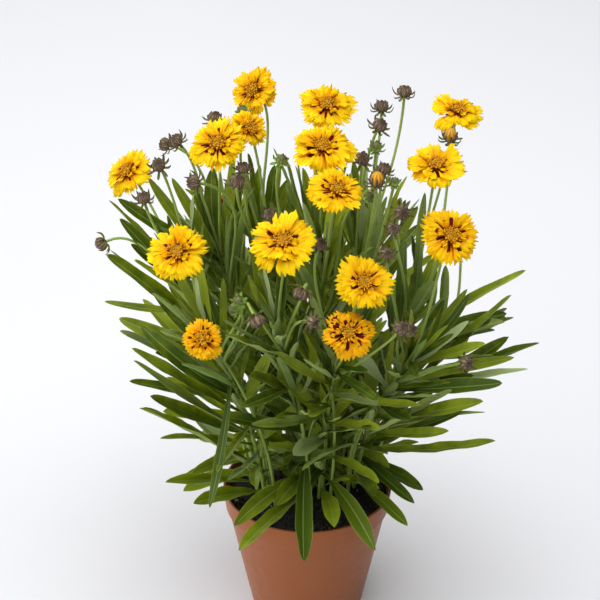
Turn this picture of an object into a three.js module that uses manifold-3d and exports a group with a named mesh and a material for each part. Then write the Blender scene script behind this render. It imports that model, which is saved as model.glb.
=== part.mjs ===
// Coreopsis in its pot: a clump of leafy shoots with semi-double yellow blooms, spent heads and buds
// on long stalks, standing in a 13 cm nursery pot filled with peat.
// Millimetres, +Z up. The origin is the middle of the pot's underside, and -Y is the front.

import * as THREE from "three";
import Module from "manifold-3d";
import { mergeVertices } from "three/addons/utils/BufferGeometryUtils.js";

const wasm = await Module();
wasm.setup();

// ---- Driving dimensions -------------------------------------------------------------------------

const POT_HEIGHT = 105;
const POT_RIM_RADIUS = 65;
const POT_BASE_RADIUS = 44;
const POT_WALL = 1.6;
const POT_FLOOR = 2.2;
const RIM_BAND_HEIGHT = 17;
const RIM_BAND_STEP = 1.9;
const BAND_CHAMFER = 0.8;
const RIM_LIP = 2.1;
const POT_SIDES = 24;
const DRAIN_HOLES = 4;
const DRAIN_RADIUS = 4.5;
const DRAIN_CIRCLE = 27;
const DRAIN_SIDES = 8;

const SOIL_TOP = 99;
const SOIL_SWELL = 1.1;
const SOIL_SINK = 1.6;
const SOIL_EDGE_DROP = 2.5;
const SOIL_RINGS = [
  { share: 0.74, sides: 24 },
  { share: 0.45, sides: 12 },
  { share: 0.2, sides: 6 },
];
const ROOT_DEPTH = 20;

const FIT_GAP = 0.3;
const GROWING_GAP = 0.7;
const OWN_GAP = 0.25;
const SLIVER = 0.004;
const SIMPLIFY = 0.1;

const SHOOT_RADIUS_FOOT = 1.9;
const SHOOT_RADIUS_TOP = 1.2;
const SHOOT_SIDES = 4;
const CROWN_COLLAR = 1.5;
const ROOT_HOLE_SIDES = 6;
const STALK_RADIUS_FOOT = 1.15;
const STALK_RADIUS_TOP = 0.9;
const STALK_SIDES = 4;
const STALK_FORK = 26;
const LEADER_FORK = 8;
const FORK_STEP = 0.05;
const STALK_SWING = 1.2;
const STALK_SHARES = [0, 0.25, 0.5, 0.75, 1];
const CUP_RADIUS = 5.2;
const CUP_DEPTH = 5;
const CUP_SIDES = 6;

const LEAF_RIB = 1.15;
const LEAF_FOLD = 0.16;
const LEAF_STALK = 0.17;
const LEAF_BASE = 2;
const LOW_LEAF_BOW = 0.13;
const HIGH_LEAF_BOW = 0.02;
const FRONT_ROLL = 0.7;
const PAIR_FRONT_ROLL = 0.35;
const ROLL_AT_FOOT = 0.35;
const LEAF_TWIST = 0.55;
const PAIR_SWAY = 0.3;
const REACH_SWAY = 0.05;
const LANCEOLATE = { rise: 0.9, fall: 0.55 };
const SPATULATE = { rise: 1.5, fall: 0.5 };
const LONG_LEAF_STATIONS = [0.27, 0.57, 0.83];
const LEAF_STATIONS = [0.34, 0.72];

// Leaf pairs up a shoot: height as a share of the shoot, length, width, slant from the shoot, droop.
const LEAF_PAIRS = [
  { at: 0.05, length: 74, width: 12.5, slant: 52, droop: 0.45 },
  { at: 0.16, length: 80, width: 12, slant: 50, droop: 0.42 },
  { at: 0.28, length: 86, width: 11.5, slant: 47, droop: 0.32 },
  { at: 0.4, length: 88, width: 11.5, slant: 44, droop: 0.24 },
  { at: 0.52, length: 88, width: 11, slant: 41, droop: 0.18 },
  { at: 0.64, length: 88, width: 11, slant: 38, droop: 0.14 },
  { at: 0.75, length: 86, width: 10.5, slant: 35, droop: 0.1 },
  { at: 0.86, length: 82, width: 10, slant: 31, droop: 0.08 },
  { at: 0.96, length: 76, width: 9.5, slant: 27, droop: 0.06 },
];
const SPATULATE_PAIRS = 2;
const WIDEST_SWING = 48;
const SHORTER = 0.012;
const LEAF_TRIES = 30;
const REACH_TRIES = 30;
const STALK_TRIES = 60;

const RAYS = 8;
const BLOOM_SEAT_RADIUS = 5;
const BLOOM_DEPTH = 3.5;
const HEAD_SEAT_RADIUS = 2.3;
const HEAD_BRACTS = 8;

// ---- Where things grow --------------------------------------------------------------------------

// Each leafy shoot: where it leaves the soil and where its leafy part ends.
const SHOOTS = [
  { foot: [-38, -4], top: [-86, -8, 286] },
  { foot: [-32, -14], top: [-68, -62, 268] },
  { foot: [-34, 6], top: [-62, 10, 298] },
  { foot: [2, -14], top: [-20, -66, 276] },
  { foot: [11, -9], top: [20, -74, 258] },
  { foot: [4, 0], top: [10, -26, 298] },
  { foot: [36, 4], top: [72, -56, 248] },
  { foot: [30, 21], top: [82, -12, 274] },
  { foot: [23, 11], top: [38, -4, 302] },
  { foot: [-13, 31], top: [-34, 26, 298] },
  { foot: [-1, 39], top: [6, 44, 292] },
  { foot: [7, 27], top: [34, 72, 250] },
  { foot: [-21, 40], top: [-56, 64, 250] },
  { foot: [38, 14], top: [104, 20, 232] },
];

// Blooms: [shoot, middle of the rays, [turn, rise] of the face in degrees, diameter].
// Turn 0 faces the front, 90 the right side and 180 the back; rise 90 faces straight up.
const BLOOMS = [
  [10, [-39, 37, 414], [-30, 35], 40],
  [3, [-61, -34, 404], [-5, 52], 44],
  [10, [-41, -2, 402], [35, 50], 32],
  [11, [13, 10, 414], [0, 60], 46],
  [6, [9, -48, 408], [0, 62], 46],
  [6, [18, -84, 393], [10, 62], 42],
  [8, [105, 29, 402], [15, 70], 41],
  [8, [86, -32, 387], [5, 73], 46],
  [7, [95, -70, 353], [8, 40], 45],
  [1, [-129, 20, 359], [-40, 45], 39],
  [2, [-87, -80, 346], [-25, 45], 46],
  [4, [-17, -97, 362], [-10, 62], 48],
  [5, [36, -108, 338], [5, 45], 44],
  [5, [26, -122, 308], [0, 42], 36],
  [2, [-70, -113, 298], [-5, 45], 31.5],
  [12, [44, 104, 300], [160, 45], 40],
  [13, [-66, 102, 296], [205, 45], 38],
];

// Spent heads, dry and closed, and two heads that are just opening.
const HEADS = [
  [3, [-93, 12, 387], [-60, 50], 5.1],
  [3, [-103, 30, 376], [-70, 20], 4.6],
  [1, [-104, -8, 377], [-20, 50], 5.1],
  [3, [-78, -50, 383], [-60, 20], 5.1],
  [10, [-47, -63, 390], [10, 60], 5.1],
  [3, [-65, 14, 404], [10, 80], 4.9],
  [1, [-113, -31, 363], [-20, 70], 4.9],
  [1, [-147, -12, 317], [-80, -25], 5.1],
  [9, [52, 32, 405], [10, 84], 5.1],
  [9, [68, 35, 415], [20, 84], 5.1],
  [9, [49, -15, 410], [40, 60], 5.1],
  [9, [36, -40, 396], [0, 50], 4.9],
  [9, [45, -66, 392], [10, 78], 5.3],
  [9, [51, -40, 389], [30, 78], 4.8],
  [8, [62, -72, 371], [10, 30], 5.3],
  [8, [55, -92, 369], [-10, 50], 4.2],
  [7, [51, -98, 354], [0, 40], 4.2],
  [8, [99, 8, 392], [0, 72], 5.3],
  [5, [8, -78, 351], [30, 60], 4.4],
  [6, [-26, -66, 367], [-20, 60], 4.4],
  [4, [-6, -115, 332], [-40, -40], 5.1],
  [4, [3, -124, 317], [30, 20], 4.2],
  [4, [-33, -119, 314], [35, -35], 4.9],
  [5, [61, -114, 307], [20, 50], 4.8],
  [7, [68, -98, 297], [30, 35], 4.8],
  [7, [107, -99, 271], [20, 30], 4.4],
  [10, [-44, -36, 388], [0, 80], 4.4],
];
const OPENING_HEADS = [13, 18];

// Small buds and stunted heads that stay part of their shoot: [shoot, middle, [turn, rise], radius].
const BUDS = [
  [6, [-18, -56, 402], [20, 50], 4],
  [9, [46, -22, 397], [0, 70], 4],
  [10, [-46, 14, 408], [-60, 60], 4],
  [2, [-46, -113, 327], [-20, 40], 3.6],
  [2, [-50, -103, 315], [-40, 30], 3.6],
  [6, [40, -56, 375], [40, 30], 4],
  [9, [57, -60, 388], [20, 70], 3],
  [11, [20, 84, 330], [170, 60], 4],
  [12, [62, 84, 286], [140, 50], 4.4],
  [13, [-92, 76, 290], [220, 50], 4.4],
  [14, [118, 46, 300], [110, 60], 4.4],
];

// The long leaves that shape the outline: [shoot, share of the shoot's height, tip, width].
const REACHING_LEAVES = [
  [3, 0.97, [-134, 0, 347], 10.5],
  [1, 0.75, [-142, -20, 313], 13],
  [1, 0.86, [-140, -20, 274], 6],
  [2, 0.77, [-133, -42, 274], 11.5],
  [2, 0.53, [-117, -50, 278], 12.5],
  [2, 0.63, [-122, -70, 266], 10],
  [2, 0.5, [-120, -80, 262], 11],
  [1, 0.28, [-112, -60, 221], 12],
  [2, 0.16, [-119, -70, 217], 13],
  [1, 0.08, [-104, -60, 147], 11],
  [2, 0.08, [-84, -60, 128], 13],
  [1, 0.2, [-94, -30, 131], 6.5],
  [2, 0.55, [-69, -110, 160], 7],
  [4, 0.13, [-54, -75, 119], 13],
  [4, 0.08, [-50, -92, 109], 13],
  [4, 0.04, [-3, -108, 112], 13.5],
  [4, 0.2, [-17, -74, 134], 13],
  [5, 0.05, [19, -85, 125], 13],
  [5, 0.1, [49, -90, 108], 13.5],
  [7, 0.12, [48, -62, 136], 13],
  [7, 0.04, [74, -60, 108], 10.5],
  [8, 0.06, [80, -40, 114], 10.5],
  [14, 0.08, [88, -20, 112], 10.5],
  [7, 0.05, [135, -60, 183], 10.5],
  [7, 0.4, [100, -70, 198], 9],
  [7, 0.28, [123, -72, 224], 12],
  [7, 0.71, [138, -54, 228], 12],
  [8, 0.5, [158, -38, 230], 9.5],
  [14, 0.64, [166, -30, 247], 10.5],
  [14, 0.43, [148, 0, 235], 13],
  [14, 0.5, [148, -8, 274], 13.5],
  [8, 0.8, [151, -40, 311], 9.5],
  [8, 0.59, [144, 14, 246], 13],
  [3, 0.97, [-115, 30, 350], 8.5],
  [9, 0.97, [40, -26, 372], 10.5],
  [3, 0.9, [-67, 20, 359], 10.5],
  [10, 0.97, [-24, 30, 360], 10.5],
  [11, 0.97, [-4, 40, 353], 10.5],
  [12, 0.9, [60, 134, 262], 11.5],
  [12, 0.55, [16, 138, 206], 13],
  [13, 0.77, [-96, 126, 262], 11.5],
  [13, 0.55, [-40, 138, 202], 13],
  [13, 0.84, [-122, 74, 280], 11.5],
  [14, 0.67, [126, 70, 196], 11.5],
  [12, 0.97, [88, 116, 270], 11.5],
  [3, 0.47, [-126, 56, 236], 13],
  [12, 0.12, [30, 98, 118], 14],
  [13, 0.1, [-44, 94, 116], 14],
  [14, 0.2, [98, 66, 124], 14],
  [3, 0.12, [-88, 44, 120], 14],
  [2, 0.72, [-133, -42, 264], 8],
  [1, 0.97, [-133, -5, 334], 10],
  [3, 0.9, [-85, 20, 340], 9.5],
  [3, 0.97, [-53, 20, 362], 9.5],
  [10, 0.9, [-33, 36, 355], 9.5],
  [11, 0.9, [-16, 36, 361], 9.5],
  [6, 0.97, [30, -10, 372], 10],
];

// Sockets of pair leaves that stay empty, as shoot, pair and corner, where the clump is open.
const OPEN_SOCKETS = [
  [8, 8, 0],
  [14, 7, 1],
  [14, 8, 0],
  [14, 8, 2],
];

// ---- Seeded draws and small helpers -------------------------------------------------------------

// A repeatable number from 0 to 1 for three whole numbers.
function draw(a, b, c) {
  let mix = Math.imul(a + 1, 374761393) ^ Math.imul(b + 7, 668265263) ^ Math.imul(c + 13, 974634777);
  mix = Math.imul(mix ^ (mix >>> 13), 1274126177);
  mix = Math.imul(mix ^ (mix >>> 16), 461845907);
  mix ^= mix >>> 15;
  return (mix >>> 0) / 4294967296;
}

const spread = (a, b, c) => 2 * draw(a, b, c) - 1;
const radians = THREE.MathUtils.degToRad;
const vector = (list) => new THREE.Vector3(...list);
const UP = new THREE.Vector3(0, 0, 1);

// The direction of a face that turns away from the front and rises from the level.
function facing([turn, rise]) {
  const across = Math.cos(radians(rise));
  return new THREE.Vector3(
    Math.sin(radians(turn)) * across,
    -Math.cos(radians(turn)) * across,
    Math.sin(radians(rise)),
  );
}

// ---- Closed bodies ------------------------------------------------------------------------------

// A body under way is a list of points and a list of faces; a ring is a list of point numbers.
const newBody = () => ({ points: [], faces: [] });

function addRing(body, points) {
  const first = body.points.length;
  body.points.push(...points);
  return points.map((_, k) => first + k);
}

// Faces between two neighbouring rings. Rings of one length are split alike on both sides of a blade,
// and a shorter ring changes over half-way along each of its steps.
function bridge(body, below, above) {
  const turned = below.length > above.length;
  const many = turned ? below : above;
  const few = turned ? above : below;
  const point = (ring, k) => ring[k % ring.length];
  const face = (a, b, c) => body.faces.push(a, turned ? c : b, turned ? b : c);
  const partner = (k) => Math.floor(((k + 0.5) / many.length) * few.length + 0.5);
  for (let k = 0; k < many.length; k++) {
    if (few.length === many.length) {
      const early = k % 2;
      face(point(few, k), point(few, k + 1), point(many, k + 1 - early));
      face(point(few, k + early), point(many, k + 1), point(many, k));
      continue;
    }
    if (few.length > 1 && partner(k) !== partner(k - 1)) {
      face(point(few, partner(k - 1)), point(few, partner(k)), point(many, k));
    }
    face(point(few, partner(k)), point(many, k + 1), point(many, k));
  }
}

// A flat end: it faces back along the line of travel at the start of a body, and onward at its end.
function close(body, ring, onward) {
  for (let k = 1; k < ring.length - 1; k++) {
    body.faces.push(ring[0], onward ? ring[k] : ring[k + 1], onward ? ring[k + 1] : ring[k]);
  }
}

function bodyGeometry(body) {
  const geometry = new THREE.BufferGeometry();
  const places = body.points.flatMap((point) => [...point]);
  geometry.setAttribute("position", new THREE.Float32BufferAttribute(places, 3));
  geometry.setIndex(body.faces);
  return geometry;
}

// Carries a body on over rings of points, which run the same way round the line of travel.
// A ring of one point closes it in a tip.
function carryOn(body, start, rings) {
  let ring = start;
  for (const points of rings) {
    const next = addRing(body, points);
    bridge(body, ring, next);
    ring = next;
  }
  return ring;
}

// One closed body skinned over rings of points.
function skin(rings) {
  const body = newBody();
  const start = addRing(body, rings[0]);
  close(body, start, false);
  close(body, carryOn(body, start, rings.slice(1)), true);
  return bodyGeometry(body);
}

function solidOf(geometry) {
  const bare = geometry.clone();
  bare.deleteAttribute("normal");
  bare.deleteAttribute("uv");
  const merged = mergeVertices(bare, 1e-4);
  return new wasm.Manifold(new wasm.Mesh({
    numProp: 3,
    vertProperties: new Float32Array(merged.attributes.position.array),
    triVerts: new Uint32Array(merged.index.array),
  }));
}

function geometryOf(solid) {
  const mesh = solid.getMesh();
  const geometry = new THREE.BufferGeometry();
  geometry.setAttribute("position", new THREE.BufferAttribute(new Float32Array(mesh.vertProperties), 3));
  geometry.setIndex(new THREE.BufferAttribute(new Uint32Array(mesh.triVerts), 1));
  return geometry;
}

// A level ring of points round the Z axis.
function levelRing(count, radius, height, lead = 0) {
  const ring = [];
  for (let k = 0; k < count; k++) {
    const turn = (2 * Math.PI * k) / count + lead;
    ring.push(new THREE.Vector3(radius * Math.cos(turn), radius * Math.sin(turn), height));
  }
  return ring;
}

// Rings of a round rod along a curve, with the frame carried on from one ring to the next.
function rodRings(points, tangents, radii, sides) {
  let side = new THREE.Vector3(0, 1, 0);
  return points.map((middle, k) => {
    const along = tangents[k];
    side = side.clone().addScaledVector(along, -side.dot(along)).normalize();
    const normal = along.clone().cross(side);
    const ring = [];
    for (let j = 0; j < sides; j++) {
      const turn = (2 * Math.PI * j) / sides;
      ring.push(middle.clone()
        .addScaledVector(side, radii[k] * Math.cos(turn))
        .addScaledVector(normal, radii[k] * Math.sin(turn)));
    }
    return ring;
  });
}

// ---- Room among the shoots ----------------------------------------------------------------------

const grown = [];

// Keeps a solid that has its place. A joined one is fused into its owner by a boolean, so the foot of
// a leaf may cross it.
function grow(solid, owner, joined = false) {
  grown.push({ solid, owner, joined, box: solid.boundingBox() });
}

function boxesMeet(a, b, gap) {
  return [0, 1, 2].every((k) => a.min[k] - gap < b.max[k] && b.min[k] - gap < a.max[k]);
}

// True where a new solid keeps its gap to everything that other owners have grown.
function hasRoom(solid, owner, gap, mate = null) {
  const box = solid.boundingBox();
  return grown.every((other) => {
    if (other.owner === owner || !boxesMeet(box, other.box, gap)) {
      return true;
    }
    const least = other.owner === mate ? OWN_GAP : gap;
    return solid.minGap(other.solid, gap) >= least;
  });
}

// True where a solid only touches the parts of its own shoot, and its outer part stays off them.
function clearOfOwn(whole, outer, owner) {
  const box = whole.boundingBox();
  return grown.every((other) => {
    if (other.owner !== owner || !boxesMeet(box, other.box, OWN_GAP)) {
      return true;
    }
    if (outer.minGap(other.solid, OWN_GAP) < OWN_GAP) {
      return false;
    }
    return other.joined || whole.intersect(other.solid).volume() < SLIVER;
  });
}

// ---- Pot and soil -------------------------------------------------------------------------------

const BODY_TOP_RADIUS = POT_RIM_RADIUS - RIM_BAND_STEP - POT_WALL;
const INNER_RIM_RADIUS = POT_RIM_RADIUS - RIM_LIP;
const INNER_BASE_RADIUS = POT_BASE_RADIUS - POT_WALL;
const INNER_BAND_RADIUS = BODY_TOP_RADIUS - POT_WALL;
const BAND_FOOT = POT_HEIGHT - RIM_BAND_HEIGHT;

function potGeometry() {
  const outline = [
    [0, 0],
    [POT_BASE_RADIUS, 0],
    [BODY_TOP_RADIUS, BAND_FOOT],
    [BODY_TOP_RADIUS + RIM_BAND_STEP, BAND_FOOT + BAND_CHAMFER],
    [POT_RIM_RADIUS, POT_HEIGHT],
    [INNER_RIM_RADIUS, POT_HEIGHT],
    [INNER_BAND_RADIUS, BAND_FOOT],
    [INNER_BASE_RADIUS, POT_FLOOR],
    [0, POT_FLOOR],
  ];
  const profile = outline.map(([radius, height]) => new THREE.Vector2(radius, height));
  const shell = new THREE.LatheGeometry(profile, POT_SIDES);
  shell.rotateX(Math.PI / 2);
  let pot = solidOf(shell);
  for (let k = 0; k < DRAIN_HOLES; k++) {
    const turn = (2 * Math.PI * (k + 0.5)) / DRAIN_HOLES;
    const drill = new THREE.CylinderGeometry(DRAIN_RADIUS, DRAIN_RADIUS, 3 * POT_FLOOR, DRAIN_SIDES);
    drill.rotateX(Math.PI / 2);
    drill.translate(DRAIN_CIRCLE * Math.cos(turn), DRAIN_CIRCLE * Math.sin(turn), POT_FLOOR / 2);
    pot = pot.subtract(solidOf(drill));
  }
  return geometryOf(pot);
}

// The surface of the soil sinks a little at the wall and rolls gently between the shoots.
function soilHeight(x, y) {
  const out = Math.hypot(x, y) / POT_RIM_RADIUS;
  return SOIL_TOP - SOIL_SINK * out ** 4 + SOIL_SWELL * Math.sin(x / 9 + 1.3) * Math.sin(y / 11 + 0.4);
}

function soilGeometry() {
  const edgeHeight = SOIL_TOP - SOIL_EDGE_DROP;
  const upBand = (edgeHeight - BAND_FOOT) / RIM_BAND_HEIGHT;
  const edge = THREE.MathUtils.lerp(INNER_BAND_RADIUS, INNER_RIM_RADIUS, upBand) - 1.1 * FIT_GAP;
  const lead = Math.PI / 2;
  const onTop = (ring) => ring.map((p) => new THREE.Vector3(p.x, p.y, soilHeight(p.x, p.y)));
  const rings = [
    [new THREE.Vector3(0, 0, POT_FLOOR + FIT_GAP)],
    levelRing(POT_SIDES, INNER_BASE_RADIUS - FIT_GAP, POT_FLOOR + FIT_GAP, lead),
    levelRing(POT_SIDES, edge, edgeHeight, lead),
    ...SOIL_RINGS.map(({ share, sides }) => onTop(levelRing(sides, edge * share, 0, lead))),
    onTop([new THREE.Vector3(0, 0, 0)]),
  ];
  let soil = solidOf(skin(rings));
  const radius = (SHOOT_RADIUS_FOOT + FIT_GAP) / Math.cos(Math.PI / ROOT_HOLE_SIDES);
  for (const { foot } of SHOOTS) {
    const drill = new THREE.CylinderGeometry(radius, radius, 2 * ROOT_DEPTH, ROOT_HOLE_SIDES);
    drill.rotateX(Math.PI / 2);
    drill.translate(foot[0], foot[1], SOIL_TOP);
    soil = soil.subtract(solidOf(drill));
  }
  return geometryOf(soil);
}

// ---- Shoots, stalks and leaves ------------------------------------------------------------------

// The middle line of a shoot above the soil: upright at its foot, then leaning out.
function shootCurve({ foot, top }) {
  const crown = new THREE.Vector3(foot[0], foot[1], SOIL_TOP);
  const end = vector(top);
  const lean = end.clone().sub(crown);
  const bend = crown.clone().add(new THREE.Vector3(0.2 * lean.x, 0.2 * lean.y, 0.5 * lean.z));
  return new THREE.QuadraticBezierCurve3(crown, bend, end);
}

const CURVES = SHOOTS.map(shootCurve);

// The turn of the first leaf pair of a shoot: its pairs stand slantwise to the way that it leans.
function pairLead(number) {
  const { foot, top } = SHOOTS[number - 1];
  return Math.atan2(top[1] - foot[1], top[0] - foot[0]) + Math.PI / 4 + 0.3 * spread(number, 0, 3);
}

// The four corners of a shoot at one height. Leaf pairs grow from opposite corners, and each pair
// stands crosswise to the next.
function shootCorners(number, middle, along, radius) {
  const lead = pairLead(number);
  const side = new THREE.Vector3(Math.cos(lead), Math.sin(lead), 0);
  side.addScaledVector(along, -side.dot(along)).normalize();
  const normal = along.clone().cross(side);
  return [0, 1, 2, 3].map((corner) => middle.clone()
    .addScaledVector(side, radius * Math.cos((corner * Math.PI) / 2))
    .addScaledVector(normal, radius * Math.sin((corner * Math.PI) / 2)));
}

// The levels of a shoot from its root up. A level with a pair carries two leaves.
function shootLevels(number) {
  const curve = CURVES[number - 1];
  const upright = [-ROOT_DEPTH + FIT_GAP, CROWN_COLLAR].map((rise) => {
    const middle = curve.v0.clone().setZ(SOIL_TOP + rise);
    return { corners: shootCorners(number, middle, UP, SHOOT_RADIUS_FOOT), pair: null };
  });
  const heights = [...LEAF_PAIRS.map(({ at }, pair) => ({ at, pair })), { at: 1, pair: null }];
  const leaning = heights.map(({ at, pair }) => {
    const radius = THREE.MathUtils.lerp(SHOOT_RADIUS_FOOT, SHOOT_RADIUS_TOP, at);
    const corners = shootCorners(number, curve.getPoint(at), curve.getTangent(at), radius);
    return { corners, pair };
  });
  return [...upright, ...leaning];
}

const LEVELS = SHOOTS.map((_, index) => shootLevels(index + 1));
const FIRST_PAIR_LEVEL = 2;

const isSocket = ({ pair }, corner) => pair !== null && corner % 2 === pair % 2;

function stepTowards(from, to, distance) {
  return from.clone().addScaledVector(to.clone().sub(from).normalize(), distance);
}

// The four points round the base of a leaf: above and below it on its own corner, and the two
// neighbouring corners, so that a pair clasps its shoot.
function socketPoints(number, pair, corner) {
  const levels = LEVELS[number - 1];
  const level = FIRST_PAIR_LEVEL + pair;
  const here = levels[level].corners;
  return [
    stepTowards(here[corner], levels[level + 1].corners[corner], LEAF_BASE),
    here[(corner + 3) % 4],
    stepTowards(here[corner], levels[level - 1].corners[corner], LEAF_BASE),
    here[(corner + 1) % 4],
  ];
}

// A shoot with its leaves as one skin. The leaves are rings by pair and corner.
function shootBody(number, leaves) {
  const levels = LEVELS[number - 1];
  const body = newBody();
  const rings = levels.map(({ corners }) => addRing(body, corners));
  const sockets = levels.map((level) => [0, 1, 2, 3].map((corner) => {
    if (!isSocket(level, corner)) {
      return null;
    }
    const [above, , below] = socketPoints(number, level.pair, corner);
    return addRing(body, [above, below]);
  }));
  for (let k = 0; k + 1 < levels.length; k++) {
    for (let corner = 0; corner < SHOOT_SIDES; corner++) {
      const next = (corner + 1) % SHOOT_SIDES;
      const foot = sockets[k][corner]?.[0] ?? rings[k][corner];
      const footNext = sockets[k][next]?.[0] ?? rings[k][next];
      const headNext = sockets[k + 1][next]?.[1] ?? rings[k + 1][next];
      const head = sockets[k + 1][corner]?.[1] ?? rings[k + 1][corner];
      body.faces.push(foot, footNext, headNext, foot, headNext, head);
    }
  }
  levels.forEach((level, k) => sockets[k].forEach((socket, corner) => {
    if (socket === null) {
      return;
    }
    const base = [socket[0], rings[k][(corner + 3) % 4], socket[1], rings[k][(corner + 1) % 4]];
    const leaf = leaves[level.pair]?.[corner];
    if (leaf) {
      carryOn(body, base, leaf);
    } else {
      close(body, base, true);
    }
  }));
  close(body, rings[0], false);
  close(body, rings[rings.length - 1], true);
  return bodyGeometry(body);
}

// The line of a stalk from its shoot to the back of what it bears. Each try starts a little lower,
// swings further aside and sweeps a different way.
function stalkCurve(number, order, seat, aim, attempt) {
  const curve = CURVES[number - 1];
  const highest = Math.max(0.6, 1 - FORK_STEP * order);
  const share = highest - 0.02 * (attempt % 5);
  const from = curve.getPoint(share);
  const along = curve.getTangent(share);
  const reach = from.distanceTo(seat);
  const key = 100 * number + order;
  const rise = reach * (0.3 + 0.12 * spread(key, attempt, 1));
  const sweep = reach * (0.3 + 0.12 * spread(key, attempt, 2));
  const swing = STALK_SWING * attempt;
  const aside = seat.clone().sub(from);
  aside.addScaledVector(along, -aside.dot(along)).normalize();
  const fork = radians(order === 0 ? LEADER_FORK : STALK_FORK);
  along.multiplyScalar(Math.cos(fork)).addScaledVector(aside, Math.sin(fork));
  const out = from.clone().addScaledVector(along, rise);
  out.add(new THREE.Vector3(spread(key, attempt, 3), spread(key, attempt, 4), 0).multiplyScalar(swing));
  const back = seat.clone().addScaledVector(aim, -sweep);
  back.add(new THREE.Vector3(spread(key, attempt, 5), spread(key, attempt, 6), 0).multiplyScalar(swing / 2));
  return new THREE.CubicBezierCurve3(from, out, back, seat);
}

function stalkSolid(curve) {
  const points = STALK_SHARES.map((share) => curve.getPoint(share));
  const tangents = STALK_SHARES.map((share) => curve.getTangent(share));
  const radii = STALK_SHARES.map((share) => THREE.MathUtils.lerp(STALK_RADIUS_FOOT, STALK_RADIUS_TOP, share));
  return solidOf(skin(rodRings(points, tangents, radii, STALK_SIDES)));
}

// A body built round its own Z axis, stood at a point and turned to face a way.
function stand(geometry, at, aim) {
  const placed = geometry.clone();
  placed.applyQuaternion(new THREE.Quaternion().setFromUnitVectors(UP, aim));
  placed.translate(at.x, at.y, at.z);
  return solidOf(placed);
}

// The green cup under a bloom.
function cupGeometry() {
  return skin([
    levelRing(CUP_SIDES, STALK_RADIUS_TOP, -CUP_DEPTH),
    levelRing(CUP_SIDES, CUP_RADIUS * 0.86, -CUP_DEPTH * 0.36),
    levelRing(CUP_SIDES, CUP_RADIUS, 0),
  ]);
}

// A closed bud with its cup, about its middle.
function budGeometry(radius) {
  return skin([
    levelRing(CUP_SIDES, radius * 0.4, radius * -1.05),
    levelRing(CUP_SIDES, radius * 1.05, radius * -0.25),
    levelRing(CUP_SIDES, radius * 0.85, radius * 0.5),
    [new THREE.Vector3(0, 0, radius)],
  ]);
}

// Width of a leaf at a share of its length, as a share of its full width.
function leafShape(share, spatulate) {
  const { rise, fall } = spatulate ? SPATULATE : LANCEOLATE;
  const widest = rise / (rise + fall);
  const peak = widest ** rise * (1 - widest) ** fall;
  const blade = (share ** rise * (1 - share) ** fall) / peak;
  return Math.max(LEAF_STALK, blade);
}

// Rings of a lanceolate blade, thick at its rib, sharp at its edges, folded up along the rib and
// slowly rolled towards the light at the front, closed by its pointed tip.
function leafRings({ curve, side, width, spatulate, twist }, stations) {
  const rings = stations.map((share) => {
    const middle = curve.getPoint(share);
    const along = curve.getTangent(share);
    const across = side.clone().addScaledVector(along, -side.dot(along)).normalize();
    across.applyAxisAngle(along, twist * THREE.MathUtils.lerp(ROLL_AT_FOOT, 1, share));
    const face = along.clone().cross(across);
    const half = (width / 2) * leafShape(share, spatulate);
    const rib = (LEAF_RIB / 2) * (1 - 0.45 * share);
    const lift = half * 2 * LEAF_FOLD;
    return [
      middle.clone().addScaledVector(face, rib),
      middle.clone().addScaledVector(face, lift).addScaledVector(across, -half),
      middle.clone().addScaledVector(face, -rib),
      middle.clone().addScaledVector(face, lift).addScaledVector(across, half),
    ];
  });
  rings.push([curve.getPoint(1)]);
  return rings;
}

// The turn of a corner of a shoot, seen from above.
const cornerTurn = (number, corner) => pairLead(number) + (corner * Math.PI) / 2;

// A leaf of a pair: it leaves its shoot at a slant and arches over by its own weight. Each try swings
// it further to one side or the other.
function pairLeaf(number, index, corner, attempt) {
  const pair = LEAF_PAIRS[index];
  const curve = CURVES[number - 1];
  const key = 1000 * number + 10 * index + corner;
  const from = curve.getPoint(pair.at);
  const along = curve.getTangent(pair.at);
  const swing = radians(WIDEST_SWING * spread(key, attempt, 8) * Math.min(1, attempt / 6));
  const turn = cornerTurn(number, corner) + 0.3 * spread(key, 0, 2) + swing;
  const out = new THREE.Vector3(Math.cos(turn), Math.sin(turn), 0);
  const side = new THREE.Vector3(-out.y, out.x, 0);
  const away = out.clone().addScaledVector(along, -out.dot(along)).normalize();
  const slant = radians(pair.slant + (8 + 0.5 * attempt) * spread(key, attempt, 3));
  const length = pair.length * (0.94 + 0.12 * spread(key, attempt, 4)) * (1 - SHORTER * attempt);
  const start = along.clone().multiplyScalar(Math.cos(slant)).addScaledVector(away, Math.sin(slant));
  const droop = pair.droop * (1 + 0.7 * spread(key, attempt, 5));
  const sway = PAIR_SWAY * spread(key, 0, 9);
  const end = start.clone().addScaledVector(UP, -droop).addScaledVector(side, sway).normalize();
  const middle = from.clone().addScaledVector(start, length * 0.5);
  const tip = middle.clone().addScaledVector(end, length * 0.5);
  return {
    curve: new THREE.QuadraticBezierCurve3(from, middle, tip),
    side,
    width: pair.width * (1 + 0.12 * spread(key, 0, 6)),
    spatulate: index < SPATULATE_PAIRS,
    twist: LEAF_TWIST * spread(key, 0, 7) + PAIR_FRONT_ROLL * out.x,
  };
}

// The free socket that suits a long leaf best, by its height and the way that it faces.
function reachingSocket(order, taken) {
  const [number, height, place] = REACHING_LEAVES[order];
  let best = null;
  LEAF_PAIRS.forEach(({ at }, index) => {
    const from = CURVES[number - 1].getPoint(at);
    const heading = Math.atan2(place[1] - from.y, place[0] - from.x);
    for (const corner of [index % 2, (index % 2) + 2]) {
      const off = Math.abs(Math.sin((heading - cornerTurn(number, corner)) / 2));
      const cost = off + 3 * Math.abs(at - height);
      if (!taken[number - 1][index]?.[corner] && (best === null || cost < best.cost)) {
        best = { index, corner, cost };
      }
    }
  });
  return best;
}

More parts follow.
